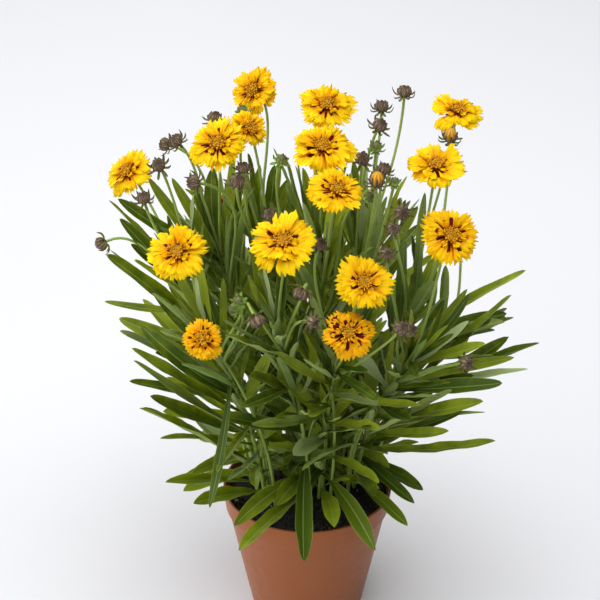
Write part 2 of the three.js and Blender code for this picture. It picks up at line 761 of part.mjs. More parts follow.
// A long leaf with a given tip. It runs nearly straight there, or bows up and over where it hangs low.
function reachingLeaf(order, index, attempt) {
  const [number, , place, width] = REACHING_LEAVES[order];
  const from = CURVES[number - 1].getPoint(LEAF_PAIRS[index].at);
  const shift = 0.5 * attempt;
  const tip = vector(place).add(new THREE.Vector3(
    shift * spread(order, attempt, 2),
    shift * spread(order, attempt, 3),
    shift * spread(order, attempt, 4),
  ));
  const span = tip.clone().sub(from);
  const length = span.length();
  const out = new THREE.Vector3(span.x, span.y, 0).normalize();
  const side = new THREE.Vector3(-out.y, out.x, 0);
  const spatulate = index < SPATULATE_PAIRS;
  const arch = spatulate ? LOW_LEAF_BOW : HIGH_LEAF_BOW;
  const bow = length * (arch + (0.04 + 0.006 * attempt) * spread(order, attempt, 5));
  const sway = length * (REACH_SWAY + 0.02 * attempt) * spread(order, attempt, 6);
  const middle = from.clone().addScaledVector(span, 0.48).addScaledVector(UP, bow);
  middle.addScaledVector(side, sway);
  return {
    curve: new THREE.QuadraticBezierCurve3(from, middle, tip),
    side,
    width,
    spatulate,
    twist: LEAF_TWIST * spread(order, 0, 7) + FRONT_ROLL * out.x,
  };
}

// ---- Blooms and heads ---------------------------------------------------------------------------

// One outer ray as [share of the ray's step, share of the reach, lift]: a valley between two rays,
// then three teeth with two notches. The inner row has its valley between two teeth.
const OUTER_RAY = [
  [0, 0.64, -0.5],
  [0.1, 0.92, 0.4],
  [0.29, 0.86, -0.3],
  [0.5, 1, 0.7],
  [0.71, 0.86, -0.3],
  [0.9, 0.92, 0.4],
];
const INNER_RAY = [
  [0, 0.7, 0.5],
  [0.5, 0.44, -0.6],
];

// Each row of rays: the height that it leaves the seat at, and how steeply it opens.
const OUTER_ROW = { ray: OUTER_RAY, root: 1.6, slope: 0.13, seeds: 0 };
const INNER_ROW = { ray: INNER_RAY, root: 4.2, slope: 0.38, seeds: 50 };

// The rings between and above the rows: share of the reach and height.
const BLOOM_WAIST = [0.31, 3.2];
const DISC_FOOT = [0.24, 5.4];
const DISC_SHOULDER = [0.16, 7.2];
const DISC_TOP = 7.8;

// The toothed outline of a row of rays, which opens as a shallow bowl from its root.
function rayOutline({ ray, root, slope, seeds }, reach, seed) {
  const outline = [];
  for (let k = 0; k < RAYS; k++) {
    const size = 1 + 0.06 * spread(seed + seeds, k, 1);
    const tilt = slope + 0.07 * spread(seed + seeds, k, 2);
    for (const [step, share, lift] of ray) {
      const turn = (2 * Math.PI * (k + step)) / RAYS;
      const radius = reach * share * (lift < 0 ? 1 : size);
      const height = root + tilt * (radius - BLOOM_SEAT_RADIUS) + lift;
      outline.push(new THREE.Vector3(radius * Math.cos(turn), radius * Math.sin(turn), height));
    }
  }
  return outline;
}

// A semi-double bloom about its own Z axis: seat, outer rays, inner rays and the domed disc.
function bloomGeometry(diameter, seed) {
  const reach = diameter / 2;
  const ring = ([share, height]) => levelRing(RAYS, reach * share, height);
  return skin([
    [new THREE.Vector3(0, 0, 0)],
    levelRing(RAYS, BLOOM_SEAT_RADIUS, 0),
    rayOutline(OUTER_ROW, reach, seed),
    ring(BLOOM_WAIST),
    rayOutline(INNER_ROW, reach, seed),
    ring(DISC_FOOT),
    ring(DISC_SHOULDER),
    [new THREE.Vector3(0, 0, DISC_TOP)],
  ]);
}

// A spent or opening head about its own Z axis: a ball of scales over a star of narrow bracts.
function headGeometry(radius, seed, opening) {
  const height = radius * (opening ? 2.3 : 1.9);
  const star = [];
  for (let k = 0; k < 2 * HEAD_BRACTS; k++) {
    const turn = (Math.PI * k) / HEAD_BRACTS;
    const tip = k % 2 === 1;
    const out = tip ? radius * (1.62 + 0.14 * spread(seed, k, 1)) : radius * 0.84;
    const up = tip ? radius * (0.62 + 0.4 * spread(seed, k, 2)) : radius * 0.42;
    star.push(new THREE.Vector3(out * Math.cos(turn), out * Math.sin(turn), up));
  }
  return skin([
    [new THREE.Vector3(0, 0, 0)],
    levelRing(HEAD_BRACTS, HEAD_SEAT_RADIUS, 0),
    star,
    levelRing(HEAD_BRACTS, radius, height * 0.55),
    levelRing(HEAD_BRACTS, radius * 0.6, height * 0.9),
    [new THREE.Vector3(0, 0, height)],
  ]);
}

// ---- Growing the plant --------------------------------------------------------------------------

const COLOURS = {
  pot: { color: 0xa9643f, roughness: 0.55 },
  soil: { color: 0x241c17, roughness: 1 },
  foliage: { color: 0x55802f, roughness: 0.6 },
  rays: { color: 0xffc800, roughness: 0.65 },
  spent: { color: 0x6b5a4c, roughness: 0.85 },
  opening: { color: 0xb98a1c, roughness: 0.75 },
};

const plant = new THREE.Group();

// Adds a named mesh whose geometry is given about its own place and turn.
function add(name, geometry, colour, at = new THREE.Vector3(), aim = UP) {
  const finish = new THREE.MeshStandardMaterial({ ...COLOURS[colour], metalness: 0 });
  const mesh = new THREE.Mesh(geometry, finish);
  mesh.name = name;
  mesh.position.copy(at);
  mesh.quaternion.setFromUnitVectors(UP, aim);
  plant.add(mesh);
}

const numbered = (name, number) => `${name}_${String(number).padStart(2, "0")}`;

const stemName = (number) => numbered("leafy_stem", number);

const potShell = potGeometry();
const peat = soilGeometry();
add("pot", potShell, "pot");
add("soil", peat, "soil");
grow(solidOf(potShell), "pot");
grow(solidOf(peat), "soil");
SHOOTS.forEach((_, index) => grow(solidOf(shootBody(index + 1, [])), stemName(index + 1)));

// Everything that a stalk bears, with the end of the stalk and how deep the stalk runs into it.
const borne = [];

function addBorne(name, geometry, colour, shoot, seat, aim, end, depth) {
  add(name, geometry, colour, seat, aim);
  grow(stand(geometry, seat, aim), name);
  borne.push({ shoot, name, aim, at: seat.clone().addScaledVector(aim, -FIT_GAP), end, depth });
}

BLOOMS.forEach(([shoot, middle, turns, diameter], index) => {
  const aim = facing(turns);
  const seat = vector(middle).addScaledVector(aim, -BLOOM_DEPTH);
  const bloom = bloomGeometry(diameter, index + 1);
  addBorne(numbered("bloom", index + 1), bloom, "rays", shoot, seat, aim, cupGeometry(), 1);
});
HEADS.forEach(([shoot, middle, turns, radius], index) => {
  const aim = facing(turns);
  const seat = vector(middle).addScaledVector(aim, -radius);
  const opening = OPENING_HEADS.includes(index + 1);
  const head = headGeometry(radius, index + 1, opening);
  const colour = opening ? "opening" : "spent";
  addBorne(numbered("seed_head", index + 1), head, colour, shoot, seat, aim, null, 0);
});
BUDS.forEach(([shoot, middle, turns, radius], index) => {
  const name = numbered("bud", index + 1);
  borne.push({ shoot, name, aim: facing(turns), at: vector(middle), end: budGeometry(radius), depth: 0.5 });
});

// Cups, buds and stalks are joined to their shoot, so each must have its room.
const joined = SHOOTS.map(() => []);

function join(part, shoot) {
  grow(part, stemName(shoot), true);
  joined[shoot - 1].push(part);
}

for (const { shoot, name, aim, at, end } of borne.filter((item) => item.end)) {
  const part = stand(end, at, aim);
  if (!hasRoom(part, stemName(shoot), FIT_GAP, name)) {
    throw new Error(`the green part of ${name} has no room`);
  }
  join(part, shoot);
}

function growStalk({ shoot, name, aim, at, depth }, order) {
  const seat = at.clone().addScaledVector(aim, -depth);
  for (let attempt = 0; attempt < STALK_TRIES; attempt++) {
    const stalk = stalkSolid(stalkCurve(shoot, order, seat, aim, attempt));
    if (hasRoom(stalk, stemName(shoot), GROWING_GAP, name)) {
      join(stalk, shoot);
      return;
    }
  }
  throw new Error(`the stalk of ${name} has no room`);
}

SHOOTS.forEach((_, index) => {
  borne.filter(({ shoot }) => shoot === index + 1).forEach(growStalk);
});

const leaves = SHOOTS.map(() => LEAF_PAIRS.map(() => ({})));
const isOpen = (...socket) => OPEN_SOCKETS.some((open) => `${open}` === `${socket}`);

// Keeps the first try of a leaf that has room, and leaves it out where none has.
function growLeaf(number, pair, corner, tries, stations, leafFor) {
  const owner = stemName(number);
  const socket = socketPoints(number, pair, corner);
  for (let attempt = 0; attempt < tries; attempt++) {
    const rings = leafRings(leafFor(attempt), stations);
    const leaf = solidOf(skin([socket, ...rings]));
    if (hasRoom(leaf, owner, GROWING_GAP) && clearOfOwn(leaf, solidOf(skin(rings)), owner)) {
      grow(leaf, owner);
      leaves[number - 1][pair][corner] = rings;
      return;
    }
  }
}

REACHING_LEAVES.forEach(([number], order) => {
  const { index, corner } = reachingSocket(order, leaves);
  const leafFor = (attempt) => reachingLeaf(order, index, attempt);
  growLeaf(number, index, corner, REACH_TRIES, LONG_LEAF_STATIONS, leafFor);
});
LEAF_PAIRS.forEach((_, index) => SHOOTS.forEach((__, shoot) => {
  for (const corner of [index % 2, (index % 2) + 2]) {
    if (!leaves[shoot][index][corner] && !isOpen(shoot + 1, index, corner)) {
      const leafFor = (attempt) => pairLeaf(shoot + 1, index, corner, attempt);
      growLeaf(shoot + 1, index, corner, LEAF_TRIES, LEAF_STATIONS, leafFor);
    }
  }
}));

joined.forEach((parts, index) => {
  const stem = solidOf(shootBody(index + 1, leaves[index]));
  const whole = parts.reduce((sum, part) => sum.add(part), stem);
  add(stemName(index + 1), geometryOf(whole.asOriginal().simplify(SIMPLIFY)), "foliage");
});

export default plant;
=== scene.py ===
"""Coreopsis in its nursery pot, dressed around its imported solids. Metres, +Z up, -Y to the front."""

import math

import bpy
import numpy as np
from bpy.props import FloatProperty, FloatVectorProperty, IntProperty, PointerProperty
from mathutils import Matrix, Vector, noise
from mathutils.bvhtree import BVHTree
from mathutils.kdtree import KDTree


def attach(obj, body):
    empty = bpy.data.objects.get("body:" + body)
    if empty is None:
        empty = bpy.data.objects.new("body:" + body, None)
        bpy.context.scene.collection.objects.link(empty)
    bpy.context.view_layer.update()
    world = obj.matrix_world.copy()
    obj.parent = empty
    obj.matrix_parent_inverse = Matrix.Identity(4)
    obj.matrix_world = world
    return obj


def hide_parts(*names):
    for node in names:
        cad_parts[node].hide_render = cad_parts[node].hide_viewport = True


bl_info = {
    "name": "Potted coreopsis",
    "version": (1, 0, 0),
    "blender": (4, 5, 0),
    "location": "View3D > Sidebar > Coreopsis",
    "description": "Builds a coreopsis in its nursery pot around its packed solids",
    "category": "Object",
}

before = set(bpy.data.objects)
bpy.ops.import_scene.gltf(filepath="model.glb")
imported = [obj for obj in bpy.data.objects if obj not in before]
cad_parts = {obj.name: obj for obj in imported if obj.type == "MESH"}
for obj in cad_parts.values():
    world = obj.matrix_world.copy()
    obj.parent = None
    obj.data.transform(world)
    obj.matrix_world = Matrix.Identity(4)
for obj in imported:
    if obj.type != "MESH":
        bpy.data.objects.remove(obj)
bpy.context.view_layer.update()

# A millimetre in metres.
MM = 0.001
UP = np.array([0.0, 0.0, 1.0])

# ---- Sizes that the solids and the finer pieces share, in millimetres ---------------------------

POT_HEIGHT = 105
POT_RIM_RADIUS = 65
POT_BASE_RADIUS = 44
POT_WALL = 1.6
POT_FLOOR = 2.2
RIM_BAND_HEIGHT = 17
RIM_BAND_STEP = 1.9
RIM_LIP = 2.1
DRAIN_RADIUS = 4.5
DRAIN_CIRCLE = 27
SOIL_TOP = 99
SOIL_SWELL = 1.1
SOIL_SINK = 1.6
ROOT_DEPTH = 20
FIT_GAP = 0.3
STALK_RADIUS_FOOT = 1.15
STALK_RADIUS_TOP = 0.9
STALK_FORK = 26
LEADER_FORK = 8
FORK_STEP = 0.05
STALK_SWING = 1.2
STALK_SHARES = (0.25, 0.5, 0.75)
LEAF_FOLD = 0.16
LEAF_STALK = 0.17
LOW_LEAF_BOW = 0.13
HIGH_LEAF_BOW = 0.02
FRONT_ROLL = 0.7
PAIR_FRONT_ROLL = 0.35
ROLL_AT_FOOT = 0.35
LEAF_TWIST = 0.55
PAIR_SWAY = 0.3
REACH_SWAY = 0.05
LANCEOLATE = (0.9, 0.55)
SPATULATE = (1.35, 0.72)
SPATULATE_PAIRS = 2
LEAF_SAG = 0.03
WIDEST_SWING = 48
SHORTER = 0.012
LEAF_TRIES = 30
STALK_TRIES = 60
BLOOM_DEPTH = 3.5

# Leaf pairs up a shoot: height as a share of the shoot, length, width, slant from the shoot, droop.
LEAF_PAIRS = [
    (0.05, 74, 12.5, 52, 0.45),
    (0.16, 80, 12, 50, 0.42),
    (0.28, 86, 11.5, 47, 0.32),
    (0.4, 88, 11.5, 44, 0.24),
    (0.52, 88, 11, 41, 0.18),
    (0.64, 88, 11, 38, 0.14),
    (0.75, 86, 10.5, 35, 0.1),
    (0.86, 82, 10, 31, 0.08),
    (0.96, 76, 9.5, 27, 0.06),
]

# Shoots: where each leaves the soil and where its leafy part ends.
SHOOTS = [
    ([-38, -4], [-86, -8, 286]),
    ([-32, -14], [-68, -62, 268]),
    ([-34, 6], [-62, 10, 298]),
    ([2, -14], [-20, -66, 276]),
    ([11, -9], [20, -74, 258]),
    ([4, 0], [10, -26, 298]),
    ([36, 4], [72, -56, 248]),
    ([30, 21], [82, -12, 274]),
    ([23, 11], [38, -4, 302]),
    ([-13, 31], [-34, 26, 298]),
    ([-1, 39], [6, 44, 292]),
    ([7, 27], [34, 72, 250]),
    ([-21, 40], [-56, 64, 250]),
    ([38, 14], [104, 20, 232]),
]

# Blooms: shoot, middle of the rays, (turn, rise) of the face in degrees, diameter.
BLOOMS = [
    (10, [-39, 37, 414], [-30, 35], 40),
    (3, [-61, -34, 404], [-5, 52], 44),
    (10, [-41, -2, 402], [35, 50], 32),
    (11, [13, 10, 414], [0, 60], 46),
    (6, [9, -48, 408], [0, 62], 46),
    (6, [18, -84, 393], [10, 62], 42),
    (8, [105, 29, 402], [15, 70], 41),
    (8, [86, -32, 387], [5, 73], 46),
    (7, [95, -70, 353], [8, 40], 45),
    (1, [-129, 20, 359], [-40, 45], 39),
    (2, [-87, -80, 346], [-25, 45], 46),
    (4, [-17, -97, 362], [-10, 62], 48),
    (5, [36, -108, 338], [5, 45], 44),
    (5, [26, -122, 308], [0, 42], 36),
    (2, [-70, -113, 298], [-5, 45], 31.5),
    (12, [44, 104, 300], [160, 45], 40),
    (13, [-66, 102, 296], [205, 45], 38),
]

# Spent heads: shoot, middle, (turn, rise) of the face in degrees, radius. Two are just opening.
HEADS = [
    (3, [-93, 12, 387], [-60, 50], 5.1),
    (3, [-103, 30, 376], [-70, 20], 4.6),
    (1, [-104, -8, 377], [-20, 50], 5.1),
    (3, [-78, -50, 383], [-60, 20], 5.1),
    (10, [-47, -63, 390], [10, 60], 5.1),
    (3, [-65, 14, 404], [10, 80], 4.9),
    (1, [-113, -31, 363], [-20, 70], 4.9),
    (1, [-147, -12, 317], [-80, -25], 5.1),
    (9, [52, 32, 405], [10, 84], 5.1),
    (9, [68, 35, 415], [20, 84], 5.1),
    (9, [49, -15, 410], [40, 60], 5.1),
    (9, [36, -40, 396], [0, 50], 4.9),
    (9, [45, -66, 392], [10, 78], 5.3),
    (9, [51, -40, 389], [30, 78], 4.8),
    (8, [62, -72, 371], [10, 30], 5.3),
    (8, [55, -92, 369], [-10, 50], 4.2),
    (7, [51, -98, 354], [0, 40], 4.2),
    (8, [99, 8, 392], [0, 72], 5.3),
    (5, [8, -78, 351], [30, 60], 4.4),
    (6, [-26, -66, 367], [-20, 60], 4.4),
    (4, [-6, -115, 332], [-40, -40], 5.1),
    (4, [3, -124, 317], [30, 20], 4.2),
    (4, [-33, -119, 314], [35, -35], 4.9),
    (5, [61, -114, 307], [20, 50], 4.8),
    (7, [68, -98, 297], [30, 35], 4.8),
    (7, [107, -99, 271], [20, 30], 4.4),
    (10, [-44, -36, 388], [0, 80], 4.4),
]

OPENING_HEADS = (13, 18)

# Buds that stay part of their shoot: shoot, middle, (turn, rise), radius.
BUDS = [
    (6, [-18, -56, 402], [20, 50], 4),
    (9, [46, -22, 397], [0, 70], 4),
    (10, [-46, 14, 408], [-60, 60], 4),
    (2, [-46, -113, 327], [-20, 40], 3.6),
    (2, [-50, -103, 315], [-40, 30], 3.6),
    (6, [40, -56, 375], [40, 30], 4),
    (9, [57, -60, 388], [20, 70], 3),
    (11, [20, 84, 330], [170, 60], 4),
    (12, [62, 84, 286], [140, 50], 4.4),
    (13, [-92, 76, 290], [220, 50], 4.4),
    (14, [118, 46, 300], [110, 60], 4.4),
]

# The long leaves that shape the outline: shoot, share of its height, tip, width.
REACHING_LEAVES = [
    (3, 0.97, [-134, 0, 347], 10.5),
    (1, 0.75, [-142, -20, 313], 13),
    (1, 0.86, [-140, -20, 274], 6),
    (2, 0.77, [-133, -42, 274], 11.5),
    (2, 0.53, [-117, -50, 278], 12.5),
    (2, 0.63, [-122, -70, 266], 10),
    (2, 0.5, [-120, -80, 262], 11),
    (1, 0.28, [-112, -60, 221], 12),
    (2, 0.16, [-119, -70, 217], 13),
    (1, 0.08, [-104, -60, 147], 11),
    (2, 0.08, [-84, -60, 128], 13),
    (1, 0.2, [-94, -30, 131], 6.5),
    (2, 0.55, [-69, -110, 160], 7),
    (4, 0.13, [-54, -75, 119], 13),
    (4, 0.08, [-50, -92, 109], 13),
    (4, 0.04, [-3, -108, 112], 13.5),
    (4, 0.2, [-17, -74, 134], 13),
    (5, 0.05, [19, -85, 125], 13),
    (5, 0.1, [49, -90, 108], 13.5),
    (7, 0.12, [48, -62, 136], 13),
    (7, 0.04, [74, -60, 108], 10.5),
    (8, 0.06, [80, -40, 114], 10.5),
    (14, 0.08, [88, -20, 112], 10.5),
    (7, 0.05, [135, -60, 183], 10.5),
    (7, 0.4, [100, -70, 198], 9),
    (7, 0.28, [123, -72, 224], 12),
    (7, 0.71, [138, -54, 228], 12),
    (8, 0.5, [158, -38, 230], 9.5),
    (14, 0.64, [166, -30, 247], 10.5),
    (14, 0.43, [148, 0, 235], 13),
    (14, 0.5, [148, -8, 274], 13.5),
    (8, 0.8, [151, -40, 311], 9.5),
    (8, 0.59, [144, 14, 246], 13),
    (3, 0.97, [-115, 30, 350], 8.5),
    (9, 0.97, [40, -26, 372], 10.5),
    (3, 0.9, [-67, 20, 359], 10.5),
    (10, 0.97, [-24, 30, 360], 10.5),
    (11, 0.97, [-4, 40, 353], 10.5),
    (12, 0.9, [60, 134, 262], 11.5),
    (12, 0.55, [16, 138, 206], 13),
    (13, 0.77, [-96, 126, 262], 11.5),
    (13, 0.55, [-40, 138, 202], 13),
    (13, 0.84, [-122, 74, 280], 11.5),
    (14, 0.67, [126, 70, 196], 11.5),
    (12, 0.97, [88, 116, 270], 11.5),
    (3, 0.47, [-126, 56, 236], 13),
    (12, 0.12, [30, 98, 118], 14),
    (13, 0.1, [-44, 94, 116], 14),
    (14, 0.2, [98, 66, 124], 14),
    (3, 0.12, [-88, 44, 120], 14),
    (2, 0.72, [-133, -42, 264], 8),
    (1, 0.97, [-133, -5, 334], 10),
    (3, 0.9, [-85, 20, 340], 9.5),
    (3, 0.97, [-53, 20, 362], 9.5),
    (10, 0.9, [-33, 36, 355], 9.5),
    (11, 0.9, [-16, 36, 361], 9.5),
    (6, 0.97, [30, -10, 372], 10),
]


# ---- Seeded draws and curves ---------------------------------------------------------------------

WORD = 0xFFFFFFFF

# What a draw is for is its last number. Those up to 9 place the leaves and stalks of the solids.
CRUMB_FORM, CRUMB_STRETCH, CRUMB_DENTS = range(15, 18)
BLADE_FORM = 31
RAY_TURN, RAY_TEETH, RAY_FLUTTER, RAY_FORM = range(50, 54)
FLORET_LEAN, FLORET_SIZE, FLORET_HEIGHT, FLORET_TONE, FLORET_DARK = range(61, 66)
SCALE_TURN, SCALE_WIDTH, SCALE_TONE = range(71, 74)
BRACT_TURN, BRACT_OUT, BRACT_UP, BRACT_TONE, SCALE_REACH = range(74, 79)
INNER_TONE, OUTER_TURN, OUTER_OUT, OUTER_UP, OUTER_TONE = range(81, 86)
SMALL_LEAF_FORM = 91
LEAF_AGE = 95
SIDE_STEM_FORM = 97
FILLING_FORM = 98


def draw(a, b, c):
    """A repeatable number from 0 to 1 for three whole numbers, the last one its purpose."""
    mix = ((a + 1) * 374761393 ^ (b + 7) * 668265263 ^ (c + 13) * 974634777) & WORD
    mix = (mix ^ mix >> 13) * 1274126177 & WORD
    mix = (mix ^ mix >> 16) * 461845907 & WORD
    return (mix ^ mix >> 15) / 4294967296


def spread(a, b, c):
    """A repeatable number from -1 to 1 for three whole numbers."""
    return 2 * draw(a, b, c) - 1


def lerp(a, b, share):
    return a + (b - a) * share


def ramp(value, low, high):
    """How far a value has come from low to high, from 0 to 1."""
    return np.clip((value - low) / (high - low), 0, 1)


def point(*coordinates):
    return np.array(coordinates, float)


def unit(arrow):
    return arrow / np.linalg.norm(arrow, axis=-1, keepdims=True)


def facing(turns):
    """The direction of a face that turns away from the front and rises from the level."""
    turn, rise = np.radians(turns)
    return point(math.sin(turn) * math.cos(rise), -math.cos(turn) * math.cos(rise), math.sin(rise))


def bezier(corners, share):
    """Points and unit tangents of a Bezier curve at shares of its length."""
    share = np.atleast_1d(share)[:, None]
    rows = [np.asarray(corner, float)[None, :] for corner in corners]
    while len(rows) > 2:
        rows = [a + (b - a) * share for a, b in zip(rows, rows[1:])]
    return rows[0] + (rows[1] - rows[0]) * share, unit(rows[1] - rows[0] + 0 * share)


def at(corners, share):
    points, tangents = bezier(corners, share)
    return points[0], tangents[0]


def across_of(side, along):
    """The part of a sideways arrow that is square to each tangent, and the face between them."""
    across = unit(side - (along @ side)[:, None] * along)
    return across, np.cross(along, across)


def turned(points, turn):
    """Points turned about the Z axis."""
    c, s = math.cos(turn), math.sin(turn)
    return points @ np.array([[c, s, 0], [-s, c, 0], [0, 0, 1]])


def placer(where, aim):
    """A function that stands points made about the Z axis at a place, with that axis along an aim."""
    tilt = np.array(Vector(UP).rotation_difference(Vector(aim)).to_matrix()).T
    return lambda points: points @ tilt + where


# ---- Where the solids' leaves and stalks grow ------------------------------------------------------


def shoot_curve(foot, top):
    """The line of a shoot, which rises from the peat and then leans out."""
    crown = point(*foot, SOIL_TOP)
    lean = point(*top) - crown
    return crown, crown + lean * (0.2, 0.2, 0.5), point(*top)


CURVES = [shoot_curve(foot, top) for foot, top in SHOOTS]


def corner_turn(number, corner):
    """The heading of a leaf at one of the four corners round a shoot."""
    foot, top = SHOOTS[number - 1]
    lean = math.atan2(top[1] - foot[1], top[0] - foot[0])
    return lean + math.pi / 4 + 0.3 * spread(number, 0, 3) + corner * math.pi / 2


def slanting_leaf(number, share, turn, slant, droop, length, sway, **form):
    """A leaf that leaves its shoot at a slant and arches over by its own weight."""
    start, along = at(CURVES[number - 1], share)
    out = point(math.cos(turn), math.sin(turn), 0)
    away = unit(out - out.dot(along) * along)
    first = along * math.cos(slant) + away * math.sin(slant)
    middle = start + first * length * 0.5
    side = point(-out[1], out[0], 0)
    tip = middle + unit(first - UP * droop + side * sway) * length * 0.5
    return {"curve": (start, middle, tip), "side": side, **form}


def pair_leaf(number, index, corner, attempt):
    """A leaf of a pair. Each try swings it round and makes it a little shorter."""
    share, length, width, slant, droop = LEAF_PAIRS[index]
    key = 1000 * number + 10 * index + corner
    swing = math.radians(WIDEST_SWING * spread(key, attempt, 8) * min(1, attempt / 6))
    turn = corner_turn(number, corner) + 0.3 * spread(key, 0, 2) + swing
    return slanting_leaf(
        number,
        share,
        turn,
        slant=math.radians(slant + (8 + 0.5 * attempt) * spread(key, attempt, 3)),
        droop=droop * (1 + 0.7 * spread(key, attempt, 5)),
        length=length * (0.94 + 0.12 * spread(key, attempt, 4)) * (1 - SHORTER * attempt),
        sway=PAIR_SWAY * spread(key, 0, 9),
        width=width * (1 + 0.12 * spread(key, 0, 6)),
        spatulate=index < SPATULATE_PAIRS,
        twist=LEAF_TWIST * spread(key, 0, 7) + PAIR_FRONT_ROLL * math.cos(turn),
    )


def reaching_leaf(order, index, attempt):
    """A long leaf with a given tip: nearly straight, or bowed up and over where it hangs low."""
    number, _, place, width = REACHING_LEAVES[order]
    start, _ = at(CURVES[number - 1], LEAF_PAIRS[index][0])
    shift = 0.5 * attempt
    tip = point(*place) + shift * point(*(spread(order, attempt, k) for k in (2, 3, 4)))
    span = tip - start
    length = np.linalg.norm(span)
    out = unit(span * (1, 1, 0))
    side = point(-out[1], out[0], 0)
    spatulate = index < SPATULATE_PAIRS
    arch = LOW_LEAF_BOW if spatulate else HIGH_LEAF_BOW
    bow = length * (arch + (0.04 + 0.006 * attempt) * spread(order, attempt, 5))
    sway = length * (REACH_SWAY + 0.02 * attempt) * spread(order, attempt, 6)
    return {
        "curve": (start, start + span * 0.48 + UP * bow + side * sway, tip),
        "side": side,
        "width": width,
        "spatulate": spatulate,
        "twist": LEAF_TWIST * spread(order, 0, 7) + FRONT_ROLL * out[0],
    }


def reaching_socket(order, taken):
    """The free socket that suits a long leaf best, by its height and the way that it faces."""
    number, height, place, _ = REACHING_LEAVES[order]
    best = None
    for index, (share, *_) in enumerate(LEAF_PAIRS):
        start, _ = at(CURVES[number - 1], share)
        heading = math.atan2(place[1] - start[1], place[0] - start[0])
        for corner in (index % 2, index % 2 + 2):
            off = abs(math.sin((heading - corner_turn(number, corner)) / 2))
            cost = off + 3 * abs(share - height)
            if (number, index, corner) not in taken and (best is None or cost < best[0]):
                best = (cost, index, corner)
    return best[1:]


def stalk_curve(number, order, seat, aim, attempt):
    """The line of a stalk from its shoot to the back of what it bears. Each try swings it further."""
    highest = max(0.6, 1 - FORK_STEP * order)
    start, along = at(CURVES[number - 1], highest - 0.02 * (attempt % 5))
    reach = np.linalg.norm(seat - start)
    key = 100 * number + order
    rise = reach * (0.3 + 0.12 * spread(key, attempt, 1))
    sweep = reach * (0.3 + 0.12 * spread(key, attempt, 2))
    swing = STALK_SWING * attempt
    aside = seat - start
    aside = unit(aside - aside.dot(along) * along)
    fork = math.radians(LEADER_FORK if order == 0 else STALK_FORK)
    heading = along * math.cos(fork) + aside * math.sin(fork)
    out = start + heading * rise
    out += swing * point(spread(key, attempt, 3), spread(key, attempt, 4), 0)
    back = seat - aim * sweep + swing / 2 * point(spread(key, attempt, 5), spread(key, attempt, 6), 0)
    return start, out, back, seat


def rod_frames(tangents):
    """The two arrows square to each tangent of a rod, carried on from one to the next."""
    side = point(0, 1, 0)
    sides = []
    for along in tangents:
        side = unit(side - side.dot(along) * along)
        sides.append(side)
    return np.array(sides), np.cross(tangents, sides)


class Solid:
    """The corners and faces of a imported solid, in millimetres, to find what grew where."""

    def __init__(self, name):
        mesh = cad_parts[name].data
        corners = [vertex.co / MM for vertex in mesh.vertices]
        self.corners = KDTree(len(corners))
        for index, corner in enumerate(corners):
            self.corners.insert(corner, index)
        self.corners.balance()
        self.faces = BVHTree.FromPolygons(corners, [polygon.vertices for polygon in mesh.polygons])

    def has_corner(self, place):
        return self.corners.find(place)[2] < 0.05

    def off_by(self, place):
        return self.faces.find_nearest(Vector(place))[3]


def kept_leaf(solid, leaf_for):
    """The try of a leaf that its solid holds, or None where the leaf was left out."""
    tries = (leaf_for(attempt) for attempt in range(LEAF_TRIES))
    return next((leaf for leaf in tries if solid.has_corner(leaf["curve"][-1])), None)


def kept_stalk(solid, curve_for):
    """The try of a stalk whose rings lie on its solid."""

    def misses(curve):
        points, _ = bezier(curve, STALK_SHARES)
        sides, normals = rod_frames(bezier(curve, (0, *STALK_SHARES))[1])
        radii = [lerp(STALK_RADIUS_FOOT, STALK_RADIUS_TOP, share) for share in STALK_SHARES]
        rims = [
            middle + sign * radius * arrow
            for middle, radius, *arrows in zip(points, radii, sides[1:], normals[1:])
            for arrow in arrows
            for sign in (1, -1)
        ]
        return sum(min(solid.off_by(rim), 1) for rim in rims)

    return min((curve_for(attempt) for attempt in range(STALK_TRIES)), key=misses)


# ---- Shapes modelled once and copied -----------------------------------------------------------


def deselect():
    """Leaves edit mode and selects nothing, because an operator acts on all that is selected."""
    if bpy.context.object and bpy.context.object.mode != "OBJECT":
        bpy.ops.object.mode_set(mode="OBJECT")
    bpy.ops.object.select_all(action="DESELECT")


def apply_modifier(target, kind, **settings):
    """Puts a modifier on an object and applies it."""
    modifier = target.modifiers.new(kind.title(), kind)
    for name, value in settings.items():
        setattr(modifier, name, value)
    bpy.context.view_layer.objects.active = target
    bpy.ops.object.modifier_apply(modifier=modifier.name)


class Template:
    """The corners, faces and flat places of a shape that is modelled once and copied."""

    def __init__(self, shaped):
        mesh = shaped.data
        self.points = np.array([vertex.co for vertex in mesh.vertices])
        self.loops = np.array([loop.vertex_index for loop in mesh.loops])
        self.sizes = np.array([polygon.loop_total for polygon in mesh.polygons])
        self.under = np.array([polygon.center.z < -0.01 for polygon in mesh.polygons], float)
        bpy.data.objects.remove(shaped)


def slab(columns, rows):
    """A flat closed blade: x from -1 to 1 across it, y from 0 to 1 along it, z through it."""
    deselect()
    bpy.ops.mesh.primitive_grid_add(x_subdivisions=columns, y_subdivisions=rows, size=2)
    blade = bpy.context.object
    apply_modifier(blade, "SOLIDIFY", thickness=1, offset=0)
    template = Template(blade)
    template.points[:, 1] = (template.points[:, 1] + 1) / 2
    return template


def rod(sides, rows):
    """A closed round rod of unit radius, with y from 0 to 1 along it."""
    template = Template(turned_cup("rod", [(1, k / rows) for k in range(rows + 1)], sides, 1))
    template.points = template.points[:, (0, 2, 1)]
    template.under[:] = 0
    return template


